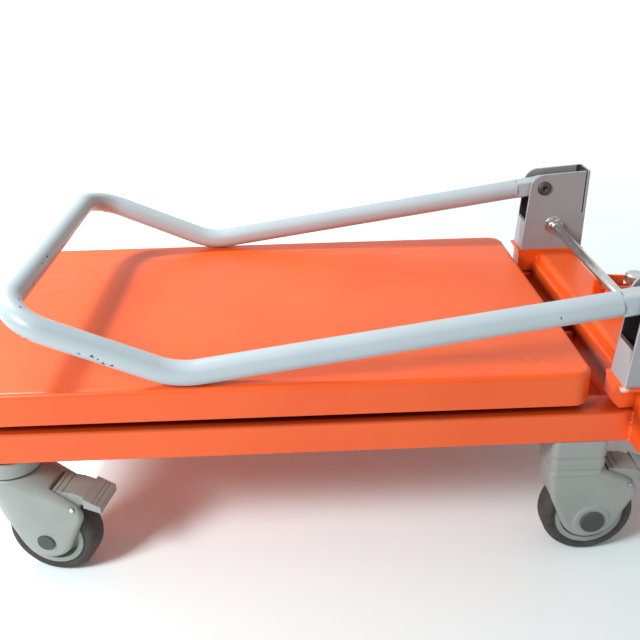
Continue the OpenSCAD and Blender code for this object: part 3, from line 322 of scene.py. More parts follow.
coat = add(tree, "ShaderNodeMix", {0: bare_steel_and_shade, 6: tone.outputs[2], 7: linear("#2E2B2A")}, data_type="RGBA")
peel = add(tree, "ShaderNodeTexNoise", {"Vector": place, "Scale": 1 / (4 * MM), "Detail": 1.0})
finished(shader, coat.outputs[2], cloud.outputs["Fac"], (0.26, 0.42), (peel.outputs["Fac"], 0.15, 0.1))
print("finish", handle_paint.name, "with", len(knocks), "knocks")

# %% Bracket enamel
# Sprayed enamel on sheet. To the eye: a flat mid grey with a near-white line along the cut edges, partly wear and
# partly a painted highlight. The inside of the bracket is darkened as painted shade
bracket_paint, tree, shader, place = new_finish("mid_grey_enamel_on_folded_steel")
cloud = add(tree, "ShaderNodeTexNoise", {"Vector": place, "Scale": 1 / (45 * MM), "Detail": 5.0})
tone = add(tree, "ShaderNodeMix", {0: cloud.outputs["Fac"], 6: linear("#989B9F"), 7: linear("#A8ABAE")},
           data_type="RGBA")
edge = add(tree, "ShaderNodeAttribute", attribute_name="edge")
# A near-white line in stretches along the cut edges: partly wear, partly a painted highlight
pale_edge_stretches = add(tree, "ShaderNodeMapRange", {"Value": cloud.outputs["Fac"], "From Min": 0.3, "From Max": 0.6})
pale_marks = add(tree, "ShaderNodeMath", {0: pale_edge_stretches.outputs[0], 1: edge.outputs["Fac"]}, operation="MULTIPLY")
coat = add(tree, "ShaderNodeMix", {0: pale_marks.outputs[0], 6: tone.outputs[2], 7: linear("#EDEEEE")}, data_type="RGBA")
bracket_low, bracket_high = span("handle_bracket_right")
sheet = 3
middle = (bracket_low + bracket_high) / 2
inner = (bracket_high - bracket_low) / 2 - Vector((1, 1, 0)) * (sheet - 0.3)
# Painted shade: the inside of the bracket darkens to near black, deep down and beside the web
parts = add(tree, "ShaderNodeSeparateXYZ", {0: place})
wide = add(tree, "ShaderNodeMath", {0: parts.outputs["Y"]}, operation="ABSOLUTE")
between_walls = add(tree, "ShaderNodeMath", {0: wide.outputs[0], 1: middle.y * MM, 2: inner.y * MM},
                    operation="COMPARE")
between_webs = add(tree, "ShaderNodeMath", {0: parts.outputs["X"], 1: middle.x * MM, 2: inner.x * MM},
                   operation="COMPARE")
inside = add(tree, "ShaderNodeMath", {0: between_walls.outputs[0], 1: between_webs.outputs[0]}, operation="MULTIPLY")
deep = add(tree, "ShaderNodeMapRange", {"Value": parts.outputs["Z"], "From Min": (bracket_high.z - 4) * MM,
                                        "From Max": (bracket_high.z - 30) * MM})
by_web = add(tree, "ShaderNodeMath", {0: parts.outputs["X"], 1: (bracket_high.x - 8) * MM}, operation="GREATER_THAN")
unlit = add(tree, "ShaderNodeMath", {0: deep.outputs[0], 1: by_web.outputs[0]}, operation="MAXIMUM")
bare_steel_and_shade = add(tree, "ShaderNodeMath", {0: inside.outputs[0], 1: unlit.outputs[0]}, operation="MULTIPLY")
coat = add(tree, "ShaderNodeMix", {0: bare_steel_and_shade.outputs[0], 6: coat.outputs[2], 7: linear("#3A3B3D")}, data_type="RGBA")
peel = add(tree, "ShaderNodeTexNoise", {"Vector": place, "Scale": 1 / (4 * MM), "Detail": 1.0})
finished(shader, coat.outputs[2], cloud.outputs["Fac"], (0.32, 0.5), (peel.outputs["Fac"], 0.15, 0.1))
print("finish", bracket_paint.name)

# %% [markdown]
# ## Bare metals
# The rod, nuts, pins and plunger are zinc plated: a bright, slightly milky metal with drawn streaks
# along its length. The ram is ground and hard-chromed, so it is smoother. Bolts and axle caps are
# blackened steel, which is dark and satin. A metal keeps the default index of refraction.

# %% Zinc plate
# Plated steel. To the eye: a bright milky metal with fine drawn streaks along its length. Real streaks are
# too fine to show here, so they are drawn 1.2 mm wide
zinc, tree, shader, place = new_finish("zinc_plated_steel")
milk = add(tree, "ShaderNodeTexNoise", {"Vector": place, "Scale": 1 / (9 * MM), "Detail": 5.0})
tone = add(tree, "ShaderNodeMix", {0: milk.outputs["Fac"], 6: linear("#A7A9A8"), 7: linear("#DADBD6")},
           data_type="RGBA")
shader.inputs["Metallic"].default_value = 1.0
streak = add(tree, "ShaderNodeMapping", {"Vector": place, "Scale": (1, 0.06, 1)})
drawn = add(tree, "ShaderNodeTexNoise", {"Vector": streak.outputs[0], "Scale": 1 / (1.2 * MM), "Detail": 2.0})
finished(shader, tone.outputs[2], drawn.outputs["Fac"], (0.2, 0.42), (drawn.outputs["Fac"], 0.1, 0.05))
print("finish", zinc.name)

# %% Hard chrome and blackened steel
# Chrome is a clear cool mirror with faint stains. Blackened steel is dark and satin, paler on its edges
chrome, tree, shader, place = new_finish("ground_hard_chrome")
stain = add(tree, "ShaderNodeTexNoise", {"Vector": place, "Scale": 1 / (25 * MM), "Detail": 3.0})
tone = add(tree, "ShaderNodeMix", {0: stain.outputs["Fac"], 6: linear("#C2C5C8"), 7: linear("#DDDFE1")},
           data_type="RGBA")
shader.inputs["Metallic"].default_value = 1.0
finished(shader, tone.outputs[2], stain.outputs["Fac"], (0.1, 0.24))

black_steel, tree, shader, place = new_finish("blackened_steel")
stain = add(tree, "ShaderNodeTexNoise", {"Vector": place, "Scale": 1 / (5 * MM), "Detail": 4.0})
tone = add(tree, "ShaderNodeMix", {0: stain.outputs["Fac"], 6: linear("#2A2D30"), 7: linear("#45494C")},
           data_type="RGBA")
edge = add(tree, "ShaderNodeAttribute", attribute_name="edge")
shine = add(tree, "ShaderNodeMath", {0: edge.outputs["Fac"], 1: 0.5}, operation="MULTIPLY")
coat = add(tree, "ShaderNodeMix", {0: shine.outputs[0], 6: tone.outputs[2], 7: linear("#6A6D6E")}, data_type="RGBA")
finished(shader, coat.outputs[2], stain.outputs["Fac"], (0.35, 0.6))
print("finishes", chrome.name, "and", black_steel.name)

# %% [markdown]
# ## Plastics, rubber and pump paint
# The caster housings, pedals and wheel centres are glass-filled nylon, moulded in a spark-eroded tool: a
# grey-green with a fine even grain and a soft sheen. Rollers are plain pale nylon. Tyres are dark grey
# rubber that picks up pale dust on the tread. The pump has a satin black paint.

# %% Moulded nylon
# Glass-filled nylon. To the eye: a dull grey-green with a fine even grain and pale scuffs. The real grain is
# too fine to show here, so it is drawn 1 mm wide
nylon, tree, shader, place = new_finish("grey_moulded_nylon")
cloud = add(tree, "ShaderNodeTexNoise", {"Vector": place, "Scale": 1 / (35 * MM), "Detail": 4.0})
tone = add(tree, "ShaderNodeMix", {0: cloud.outputs["Fac"], 6: linear("#8C938F"), 7: linear("#A2AAA6")},
           data_type="RGBA")
scuff = add(tree, "ShaderNodeTexNoise", {"Vector": place, "Scale": 1 / (12 * MM), "Detail": 8.0, "Roughness": 0.75})
scuffed = add(tree, "ShaderNodeMapRange", {"Value": scuff.outputs["Fac"], "From Min": 0.64, "From Max": 0.74,
                                           "To Max": 0.45})
coat = add(tree, "ShaderNodeMix", {0: scuffed.outputs[0], 6: tone.outputs[2], 7: linear("#B9C0BC")},
           data_type="RGBA")
grain = add(tree, "ShaderNodeTexNoise", {"Vector": place, "Scale": 1 / (1.0 * MM), "Detail": 2.0})
finished(shader, coat.outputs[2], scuff.outputs["Fac"], (0.26, 0.52), (grain.outputs["Fac"], 0.2, 0.06))
print("finish", nylon.name)

# %% Pale nylon, tyre rubber, tread rubber and pump paint
# To the eye: ivory and waxy, dark and dusty, black and matt, black with a satin sheen. Their real grain is
# too fine to show here, so it is drawn 1 to 2 mm wide
def two_tone(name, dark, light, patch_mm, rough, bump_mm, bump_height):
    """A finish of two tones in patches, with roughness between two limits and a fine bump."""
    material, tree, shader, place = new_finish(name)
    patch = add(tree, "ShaderNodeTexNoise", {"Vector": place, "Scale": 1 / (patch_mm * MM), "Detail": 6.0,
                                             "Roughness": 0.65})
    sharper = add(tree, "ShaderNodeMapRange", {"Value": patch.outputs["Fac"], "From Min": 0.35, "From Max": 0.7})
    tone = add(tree, "ShaderNodeMix", {0: sharper.outputs[0], 6: linear(dark), 7: linear(light)}, data_type="RGBA")
    grain = add(tree, "ShaderNodeTexNoise", {"Vector": place, "Scale": 1 / (bump_mm * MM), "Detail": 2.0})
    finished(shader, tone.outputs[2], patch.outputs["Fac"], rough, (grain.outputs["Fac"], 0.3, bump_height))
    print("finish", name)
    return material


pale_nylon = two_tone("pale_moulded_nylon", "#CFCDC2", "#E2E0D7", 20, (0.35, 0.55), 1.0, 0.04)
tyre_rubber = two_tone("grey_tyre_rubber", "#33312F", "#4D4A45", 16, (0.6, 0.9), 1.4, 0.1)
tread_rubber = two_tone("black_tread_rubber", "#242424", "#3B3A38", 9, (0.55, 0.85), 1.0, 0.1)
pump_paint = two_tone("satin_black_pump_paint", "#2C2E30", "#484A4B", 18, (0.3, 0.55), 2.0, 0.05)
finish_of = {"orange_enamel": orange, "bracket_enamel": bracket_paint, "handle_enamel": handle_paint,
             "zinc_steel": zinc, "chromed_ram": chrome, "black_bolt": black_steel, "pump_enamel": pump_paint,
             "tread_rubber": tread_rubber, "caster_nylon": nylon, "roller_nylon": pale_nylon,
             "tyre_rubber": tyre_rubber}
slot_of.update({name: "caster_nylon" for name in nodes if name.startswith("hub_")})

# %% [markdown]
# ## From a shape to a piece
# A shape is drawn in a bmesh, corner by corner. It becomes a piece when it is a mesh object with one finish
# that rides with one body, and that says which CAD node it stands for. These steps are the same for every
# piece, so they come first. Modifiers are frozen into the mesh, because the export takes plain meshes.

# %% Tools that every piece needs
def as_piece(name, shape, shown=True):
    """A bmesh as an object of that name, in the scene if it is to be shown."""
    mesh = bpy.data.meshes.new(name)
    shape.to_mesh(mesh)
    shape.free()
    piece = bpy.data.objects.new(name, mesh)
    if shown:
        scene.collection.objects.link(piece)
    return piece


def bridged(shape, rings):
    """The faces between each ring of corners and the next."""
    return [shape.faces.new((a[k], a[(k + 1) % len(a)], b[(k + 1) % len(a)], b[k]))
            for a, b in zip(rings, rings[1:]) for k in range(len(a))]


def belongs(piece, body):
    """The piece rides with a body."""
    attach(piece, body)


def keep(piece, name):
    """The piece takes its node's finish and body, and stands in for the node, which is hidden."""
    piece.data.materials.clear()
    piece.data.materials.append(finish_of[slot_of[name]])
    belongs(piece, body_of[name])
    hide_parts(name)
    return piece


def settled(piece):
    """Turns a piece with modifiers into one plain mesh."""
    graph = bpy.context.evaluated_depsgraph_get()
    mesh = bpy.data.meshes.new_from_object(piece.evaluated_get(graph))
    piece.modifiers.clear()
    piece.data = mesh
    return piece


print("tools for", len(finish_of), "finishes")

# %% [markdown]
# ## Rounding the CAD edges
# A CAD solid has edges as sharp as a knife, and a real folded, sawn or moulded edge is never sharp: it
# catches the light. Each rigid node is copied, its loose triangles are merged, and a Bevel modifier
# rounds the edges. The bevel paints its new faces as a second material for a moment, which is how the
# script finds them and writes the edge attribute. Weighted normals then keep the flat faces flat.

# %% The rounding tool
def copied(name):
    """A merged copy of a CAD node as a new object."""
    shape = bmesh.new()
    shape.from_mesh(nodes[name].data)
    bmesh.ops.remove_doubles(shape, verts=shape.verts, dist=0.002 * MM)
    bmesh.ops.dissolve_limit(shape, angle_limit=math.radians(0.6), verts=shape.verts, edges=shape.edges)
    return as_piece(name + "_dressed", shape)


def rounded(name, radius_mm, angle=38):
    """A node's copy with its edges rounded to a radius, and the edge attribute written on them."""
    piece = copied(name)
    piece.data.materials.append(orange)
    piece.data.materials.append(zinc)
    bevel = piece.modifiers.new("edge_radius", "BEVEL")
    bevel.width = radius_mm * MM
    bevel.segments = 3
    bevel.limit_method = "ANGLE"
    bevel.angle_limit = math.radians(angle)
    bevel.material = 1
    bevel.miter_outer = "MITER_ARC"
    settled(piece)
    mesh = piece.data
    on_edge = [float(face.material_index) for face in mesh.polygons]
    for face in mesh.polygons:
        face.material_index = 0
        face.use_smooth = True
    attribute = mesh.attributes.new("edge", "FLOAT", "FACE")
    attribute.data.foreach_set("value", on_edge)
    normals = piece.modifiers.new("flat_faces", "WEIGHTED_NORMAL")
    normals.keep_sharp = True
    settled(piece)
    return keep(piece, name)


print(len(nodes["platform_deck"].data.polygons), "loose triangles in the platform deck")

# %% Round the nodes
# Edge radius in millimetres: folded sheet is rounder than sawn, turned or moulded stock
radii = {"side_rail_left": 2.2, "side_rail_right": 2.2, "front_cross_channel": 2.0, "end_plate": 0.8,
         "handle_beam": 0.8, "post_feet": 1.6, "handle_bracket_left": 0.3, "handle_bracket_right": 0.3,
         "cylinder_clevis": 0.8, "outer_arms": 0.8, "inner_arms": 0.8, "outer_cross_tube": 0.5,
         "inner_cross_tubes": 0.5, "platform_tracks": 0.8, "platform_lugs": 0.8, "platform_deck": 0.7,
         "handle_end_blocks": 1.0, "pump_tank": 2.0, "pump_block": 1.4, "tank_plug": 0.8, "cylinder_barrel": 1.2,
         "ram_rod": 0.8, "ram_saddle": 0.8, "pedal_lever": 0.8, "pedal_pad": 0.7, "release_pedal": 0.8,
         "base_pins": 0.8, "outer_arm_pins": 0.8, "base_roller_axles": 0.8, "platform_pins": 0.8,
         "caster_plates": 0.8, "pump_plunger": 0.6, "fixed_axles": 0.7, "swivel_axle_left": 0.7,
         "swivel_axle_right": 0.7, "brake_front_left": 1.0, "brake_front_right": 1.0, "brake_rear_left": 1.0,
         "brake_rear_right": 1.0, "hub_front_left": 0.6, "hub_front_right": 0.6, "hub_rear_left": 0.6,
         "hub_rear_right": 0.6, "base_roller_left": 0.5, "base_roller_right": 0.5, "platform_roller_left": 0.5,
         "platform_roller_right": 0.5}
dressed = {name: rounded(name, radius) for name, radius in radii.items()}
print("rounded", len(dressed), "nodes,", sum(len(p.data.polygons) for p in dressed.values()), "faces")

# %% [markdown]
# ## The handle tube
# A tube is a circle carried along a path. The rings stand square to the path and turn as little as they
# can, so the skin has no twist. Many rings and sides make the bends smoother than the lighter CAD solid.

# %% Skin of the tube
def skin(name, path, radius, sides):
    """A tube mesh along a path: each ring stands square to the path, turned as little as possible."""
    shape = bmesh.new()
    rings = []
    count = len(path)
    side = None
    for i, point in enumerate(path):
        ahead = (path[min(i + 1, count - 1)] - path[max(i - 1, 0)]).normalized()
        side = ahead.orthogonal() if side is None else side - side.dot(ahead) * ahead
        side.normalize()
        other = ahead.cross(side)
        rings.append([shape.verts.new(point + radius * (math.cos(a) * side + math.sin(a) * other))
                      for a in (2 * math.pi * k / sides for k in range(sides))])
    for face in bridged(shape, rings):
        face.smooth = True
    for ring, order in ((rings[0], -1), (rings[-1], 1)):
        shape.faces.new(ring[::order])
    bmesh.ops.recalc_face_normals(shape, faces=shape.faces)
    return as_piece(name, shape)


tube = keep(skin("handle_tube_dressed", [p * MM for p in tube_path], tube_d / 2 * MM, 48), "handle_tube")
print("handle tube", len(tube.data.polygons), "faces")

# %% [markdown]
# ## Moulded caster housings
# A moulding has no sharp edge anywhere: its tool is polished and its corners flow. A voxel remesh of
# the CAD solid gives an even skin, and a few rounds of smoothing melt the edges as a mould would.

# %% Melt the housings
def moulded(name, voxel, rounds):
    """A node's copy as one soft skin."""
    piece = copied(name)
    remesh = piece.modifiers.new("even_skin", "REMESH")
    remesh.mode = "VOXEL"
    remesh.voxel_size = voxel * MM
    remesh.use_smooth_shade = True
    smooth = piece.modifiers.new("soft_edges", "SMOOTH")
    smooth.factor = 0.5
    smooth.iterations = rounds
    settled(piece)
    for face in piece.data.polygons:
        face.use_smooth = True
    return keep(piece, name)


voxel_mm, smooth_rounds = 1.0, 3
for name in ("swivel_housing_left", "swivel_housing_right", "fixed_housing_left", "fixed_housing_right"):
    print(name, len(moulded(name, voxel_mm, smooth_rounds).data.polygons), "faces")

# %% [markdown]
# ## Tyres
# A tyre is a profile turned about its axle: a rounded tread with a fine mould line round the middle
# and a step where the sidewall meets the wheel centre. The axle of each wheel is read from its joint.

# %% Turn the tyres
def turned(name, profile, centre, axle, steps):
    """A profile of (distance along the axle, radius) pairs turned about the axle into a closed ring."""
    axle = axle.normalized()
    side = axle.orthogonal().normalized()
    other = axle.cross(side)
    shape = bmesh.new()
    rings = []
    for k in range(steps):
        a = 2 * math.pi * k / steps
        out = math.cos(a) * side + math.sin(a) * other
        rings.append([shape.verts.new(centre + t * MM * axle + r * MM * out) for t, r in profile])
    for face in bridged(shape, rings + rings[:1]):
        face.smooth = True
    bmesh.ops.recalc_face_normals(shape, faces=shape.faces)
    return as_piece(name, shape)


half, wheel_r, seat_r, edge_r, tyre_steps = 15, 50, 37, 8, 96
corners = ("front_left", "front_right", "rear_left", "rear_right")
tread = [(half - edge_r + edge_r * math.sin(a), wheel_r - edge_r + edge_r * math.cos(a))
         for a in (math.radians(9 * i) for i in range(11))]
wall = [(half, 41.0), (half - 0.8, 40.2), (half - 0.8, 38.2), (half, 37.6), (half, seat_r)]
right_side = tread + wall
left_side = [(-t, r) for t, r in reversed(right_side)]
profile = [(0.0, wheel_r - 0.25), (0.35, wheel_r)] + right_side + left_side + [(-0.35, wheel_r)]
for corner in corners:
    joint = joint_of["wheel_" + corner]
    tyre = turned("tyre_" + corner + "_dressed", profile, Vector(joint["pos_m"]), Vector(joint["axis"]), tyre_steps)
    keep(tyre, "tyre_" + corner)
print("tyres of", len(profile), "points by", tyre_steps, "steps")

# %% [markdown]
# ## Plunger spring
# The return spring is wire wound in a helix. It gets shorter as the pedal goes down, but here it is wound
# at rest and rides rigidly with its node's body.

# %% Wind the spring
spring_low, spring_high = span("plunger_spring")
wire, turns, turn_steps = 2.2, 5, 36
coil = (spring_high.x - spring_low.x - wire) / 2
axis_x = (spring_low.x + spring_high.x) / 2
climb = spring_high.z - spring_low.z - wire
helix = [Vector((axis_x + coil * math.cos(2 * math.pi * t), coil * math.sin(2 * math.pi * t),
                 spring_low.z + wire / 2 + climb * t / turns))
         for t in (i / turn_steps for i in range(turn_steps * turns + 1))]
spring = skin("plunger_spring_dressed", [p * MM for p in helix], wire / 2 * MM, 12)
keep(spring, "plunger_spring")
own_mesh(spring)
print("spring of", turns, "turns")

# %% [markdown]
# ## Tie rod, nuts and bolts
# The rod is threaded at both ends, so its skin is a grid whose radius rises and falls along a helix.
# Nuts, washers and bolt heads repeat, so one shape of each is made and Geometry Nodes set a copy on
# every point of a small list, turned the right way.

# %% Thread the rod
def threaded(name, x, z, y0, y1, d, pitch, ends):
    """A rod along Y with a helical thread near both of its ends."""
    shape = bmesh.new()
    sides, deep, step, rows = 28, 0.9, pitch / 8, []
    count = int(ends / step)
    stations = [y0 + i * step for i in range(count)] + [y0 + ends + 0.1, y1 - ends - 0.1]
    stations += [y1 - ends + i * step for i in range(count + 1)]
    for y in stations:
        plain = y0 + ends < y < y1 - ends
        row = []
        for k in range(sides):
            share = (y / pitch - k / sides) % 1.0
            r = d / 2 - (0 if plain else deep * abs(2 * share - 1))
            a = 2 * math.pi * k / sides
            row.append(shape.verts.new(Vector((x + r * math.cos(a), y, z + r * math.sin(a))) * MM))
        rows.append(row)
    for face in bridged(shape, rows):
        face.smooth = True
    for row in (rows[0], rows[-1]):
        shape.faces.new(row)
    bmesh.ops.recalc_face_normals(shape, faces=shape.faces)
    return as_piece(name, shape)


rod_low, rod_high = span("tie_rod")
rod_x, rod_z = (rod_low.x + rod_high.x) / 2, (rod_low.z + rod_high.z) / 2
rod_d, thread_pitch, thread_l = rod_high.z - rod_low.z, 1.75, 66
rod = threaded("tie_rod_dressed", rod_x, rod_z, rod_low.y, rod_high.y, rod_d, thread_pitch, thread_l)
keep(rod, "tie_rod")
print("tie rod", len(rod.data.polygons), "faces")

# %% Geometry Nodes on points and lines
def new_group(title, result, **inputs):
    """A Geometry Nodes group with inputs of these kinds and one result, and the node that hands its inputs on."""
    tree = bpy.data.node_groups.new(title, "GeometryNodeTree")
    for name, kind in inputs.items():
        tree.interface.new_socket(name, in_out="INPUT", socket_type="NodeSocket" + kind)
    tree.interface.new_socket(result, in_out="OUTPUT", socket_type="NodeSocketGeometry")
    return tree, add(tree, "NodeGroupInput")


def grown(name, points, lines, group, values):
    """A new piece that a group makes from points in millimetres, and lines between them."""
    mesh = bpy.data.meshes.new(name)
    mesh.from_pydata([Vector(p) * MM for p in points], lines, [])
    piece = bpy.data.objects.new(name, mesh)
    scene.collection.objects.link(piece)
    maker = piece.modifiers.new(group.name, "NODES")
    maker.node_group = group
    for item in group.interface.items_tree:
        if item.in_out == "INPUT" and item.name in values:
            maker[item.identifier] = values[item.name]
    settled(piece)
    print(name, len(piece.data.polygons), "faces")
    return piece


def copies_tree():
    """Geometry Nodes: a copy of Shape on every point, turned by Turn, as one real mesh of Finish."""
    tree, given = new_group("copies_on_points", "Copies", Points="Geometry", Shape="Object", Turn="Vector",
                            Finish="Material")
    shape = add(tree, "GeometryNodeObjectInfo", {"Object": given.outputs["Shape"]})
    turn = add(tree, "FunctionNodeEulerToRotation", {0: given.outputs["Turn"]})
    placed = add(tree, "GeometryNodeInstanceOnPoints", {"Points": given.outputs["Points"],
                                                        "Instance": shape.outputs["Geometry"],
                                                        "Rotation": turn.outputs[0]})
    real = add(tree, "GeometryNodeRealizeInstances", {0: placed.outputs[0]})
    painted = add(tree, "GeometryNodeSetMaterial", {"Geometry": real.outputs[0], "Material": given.outputs["Finish"]})
    add(tree, "NodeGroupOutput", {"Copies": painted.outputs[0]})
    return tree


def set_on(name, points, shape, turn, finish):
    """A new piece: the shape's copies on the points, in millimetres, all turned alike."""
    return grown(name, points, [], copies, {"Shape": shape, "Turn": turn, "Finish": finish})


copies = copies_tree()
print("group", copies.name)

# %% [markdown]
# A hexagon nut is turned on both faces, which cuts its six corners to round chamfers. The mesh takes
# the smaller of the hexagon's radius and the chamfer's, ring by ring.

# %% Nuts and washers
def ring_solid(name, rows, sides, smooth=False):
    """A closed ring about Z: rows of (height, radius or radius by angle), last row joined to the first."""
    shape = bmesh.new()
    made = []
    for height, radius in rows:
        made.append([])
        for k in range(sides):
            a = 2 * math.pi * k / sides
            r = radius(a) if callable(radius) else radius
            made[-1].append(shape.verts.new(Vector((r * math.cos(a), r * math.sin(a), height)) * MM))
    for face in bridged(shape, made + made[:1]):
        face.smooth = smooth
    bmesh.ops.recalc_face_normals(shape, faces=shape.faces)
    return as_piece(name, shape, shown=False)


def hexagon(flats):
    """Radius of a hexagon of that width across flats, by angle."""
    return lambda a: flats / 2 / math.cos((a + math.pi / 6) % (math.pi / 3) - math.pi / 6)


def chamfered(flats, cap):
    """A hexagon's radius, cut down to a round chamfer."""
    whole = hexagon(flats)
    return lambda a: min(whole(a), cap)


flats, nut_half, washer_half = 19, 4.5, 1
nut = ring_solid("nut_shape", [(-nut_half, 6.3), (-nut_half, 9.3), (-3.6, chamfered(flats, 10.2)),
                               (-3.0, hexagon(flats)), (3.0, hexagon(flats)), (3.6, chamfered(flats, 10.2)),
                               (nut_half, 9.3), (nut_half, 6.3)], 48)
washer = ring_solid("washer_shape", [(-washer_half, 6.4), (-washer_half, 12.1), (-0.6, 12.5), (0.6, 12.5),
                                     (washer_half, 12.1), (washer_half, 6.4)], 48)
inner_face, outer_face = bracket_low.y, bracket_high.y
sideways = (math.pi / 2, 0, 0)
clear = 2 * washer_half + nut_half
nut_places = [(rod_x, s * y, rod_z) for s in (-1, 1) for y in (inner_face - clear, outer_face + clear)]
washer_places = [(rod_x, s * y, rod_z) for s in (-1, 1) for y in (inner_face - washer_half, outer_face + washer_half)]
nuts = set_on("tie_rod_nuts_dressed", nut_places, nut, sideways, zinc)
keep(nuts, "tie_rod_nuts")
washers = set_on("tie_rod_washers", washer_places, washer, sideways, zinc)
belongs(washers, "base")

# %% [markdown]
# The handle turns on two pan-head bolts with a hexagon socket. The head is a low dome with a hexagonal
# well in it, and each bolt shows one head on either side of its bracket. Between the bracket's two
# walls, spacer rings on the shank hold the handle end in the middle.

# %% Pivot bolts
head_r, well, tip = 9.5, 7, 0.05
head = ring_solid("bolt_head_shape", [(0, head_r), (1.2, head_r), (2.6, 8.6), (3.6, 6.8), (4.0, 5.0),
                                      (4.0, hexagon(well)), (1.4, hexagon(well)), (1.4, tip), (0.0, tip)], 48, True)
shank_r, spacer_r, spacer_in, spacer_out, shank_half = 6.0, 9.0, 11.3, 15.5, 18.4
half_shank = [(spacer_in, shank_r), (spacer_in, spacer_r), (spacer_out, spacer_r), (spacer_out, shank_r),
              (shank_half, shank_r), (shank_half, tip)]


def both_ends(half):
    """Rows of one half of a turned shape, with their mirror images before them."""
    return [(-t, r) for t, r in reversed(half)] + half


shank = ring_solid("bolt_shank_shape", both_ends(half_shank), 40)
faces_out = [(pivot.x, -outer_face, pivot.z), (pivot.x, inner_face, pivot.z)]
faces_in = [(pivot.x, -inner_face, pivot.z), (pivot.x, outer_face, pivot.z)]
heads_near = set_on("pivot_heads_near", faces_out, head, sideways, black_steel)
heads_far = set_on("pivot_heads_far", faces_in, head, (-math.pi / 2, 0, 0), black_steel)
shanks = set_on("pivot_shanks", [(pivot.x, s * leg_y, pivot.z) for s in (-1, 1)], shank, sideways, black_steel)
keep(shanks, "handle_pivot_bolts")
for piece in (heads_near, heads_far):
    belongs(piece, "base")

# %% [markdown]
# Each brake pedal turns on a pin through its caster. On the swivelling casters the pin is riveted over at
# both ends, so a small bright button shows on either cheek; on the fixed ones the button is moulded over.
# The axles of the swivelling casters end in flat dark caps. All places are read from the joints.

# %% Brake rivets
cheek, rivet_r = 24.2, 2.3
button = [(0, rivet_r), (0, 2.8), (0.4, 2.7), (0.7, 2.2), (0.9, 1.4), (1.0, tip)]
rivet_shape = ring_solid("rivet_shape", both_ends([(cheek + t, r) for t, r in button]), 24, True)
for corner in corners:
    hinge = joint_of["brake_" + corner]
    turn = Vector(hinge["axis"]).to_track_quat("Z", "Y").to_euler()
    slot = "zinc_steel" if corner.startswith("front") else "caster_nylon"
    rivet = set_on("brake_rivet_" + corner, [Vector(hinge["pos_m"]) / MM], rivet_shape, turn, finish_of[slot])
    belongs(rivet, "brake_" + corner)

# %% Axle caps
cap_r, cap_proud = 9.6, 1.3
for side_name in ("left", "right"):
    axle_name = "swivel_axle_" + side_name
    joint = joint_of["wheel_front_" + side_name]
    centre, axle = Vector(joint["pos_m"]), Vector(joint["axis"]).normalized()
    reach = max(abs((v.co - centre).dot(axle)) for v in nodes[axle_name].data.vertices) / MM
    half_cap = [(reach - 1.0, cap_r), (reach + cap_proud - 0.4, cap_r), (reach + cap_proud, cap_r - 0.6),
                (reach + cap_proud, tip)]
    cap_shape = ring_solid("axle_cap_shape", both_ends(half_cap), 40)
    for face in cap_shape.data.polygons:
        face.use_smooth = abs(face.normal.z) < 0.5
    turn = axle.to_track_quat("Z", "Y").to_euler()
    caps = set_on("axle_caps_" + side_name, [centre / MM], cap_shape, turn, black_steel)
    belongs(caps, body_of[axle_name])

# %% [markdown]
# ## Welds
# The rails are welded to the end plate and the beam to the feet. A weld is a row of overlapping ripples.
# Geometry Nodes lay flattened balls along a line at an even pitch. The lip of the end plate meets the beam
# in a long seam that was ground smooth, so that one is a plain round bead.

# %% Weld beads
def weld_tree():
    """Geometry Nodes: ripples of Size at an even Pitch along the lines, as one real mesh of Finish."""
    tree, given = new_group("weld_ripples", "Beads", Lines="Geometry", Pitch="Float", Size="Float", Finish="Material")
    line = add(tree, "GeometryNodeMeshToCurve", {0: given.outputs["Lines"]})
    even = add(tree, "GeometryNodeCurveToPoints", {"Curve": line.outputs[0], "Length": given.outputs["Pitch"]},
               mode="LENGTH")
    ball = add(tree, "GeometryNodeMeshUVSphere", {"Segments": 10, "Rings": 6, "Radius": given.outputs["Size"]})
    wobble = add(tree, "FunctionNodeRandomValue", {"Min": (0.8, 0.8, 0.6), "Max": (1.1, 1.1, 0.8), "Seed": 4},
                 data_type="FLOAT_VECTOR")
    laid = add(tree, "GeometryNodeInstanceOnPoints", {"Points": even.outputs["Points"],
                                                      "Instance": ball.outputs["Mesh"],
                                                      "Rotation": even.outputs["Rotation"],
                                                      "Scale": wobble.outputs[0]})
    real = add(tree, "GeometryNodeRealizeInstances", {0: laid.outputs[0]})
    soft = add(tree, "GeometryNodeSetShadeSmooth", {0: real.outputs[0]})
    painted = add(tree, "GeometryNodeSetMaterial", {"Geometry": soft.outputs[0], "Material": given.outputs["Finish"]})
    add(tree, "NodeGroupOutput", {"Beads": painted.outputs[0]})
    return tree


ripples = weld_tree()


def weld(name, lines, pitch, size):
    """Weld beads on the base along straight lines, in millimetres, under the orange coat."""
    points = [p for line in lines for p in line]
    pairs = [(2 * i, 2 * i + 1) for i in range(len(lines))]
    piece = grown(name, points, pairs, ripples, {"Pitch": pitch * MM, "Size": size * MM, "Finish": orange})
    belongs(piece, "base")


rail_end, rail_side, rail_inner = rail_high.x, rail_high.y, rail_low.y
upright_welds = [((rail_end, s * rail_side, rail_low.z + 2), (rail_end, s * rail_side, rail_high.z - 1))
                 for s in (-1, 1)]
level_welds = [((rail_end, s * (rail_inner + 3), rail_low.z), (rail_end, s * (rail_side - 1), rail_low.z))
               for s in (-1, 1)]
weld("rail_end_welds", upright_welds, 2.8, 4.0)
weld("rail_sole_welds", level_welds, 2.2, 2.5)
beam_weld_l, foot_step = 20, 3
weld_low = rail_high.z + foot_step
beam_ends = [((x, s * beam_high.y, weld_low), (x, s * beam_high.y, weld_low + beam_weld_l))
             for s in (-1, 1) for x in (beam_low.x, beam_high.x)]
weld("beam_end_welds", beam_ends, 2.2, 2.0)

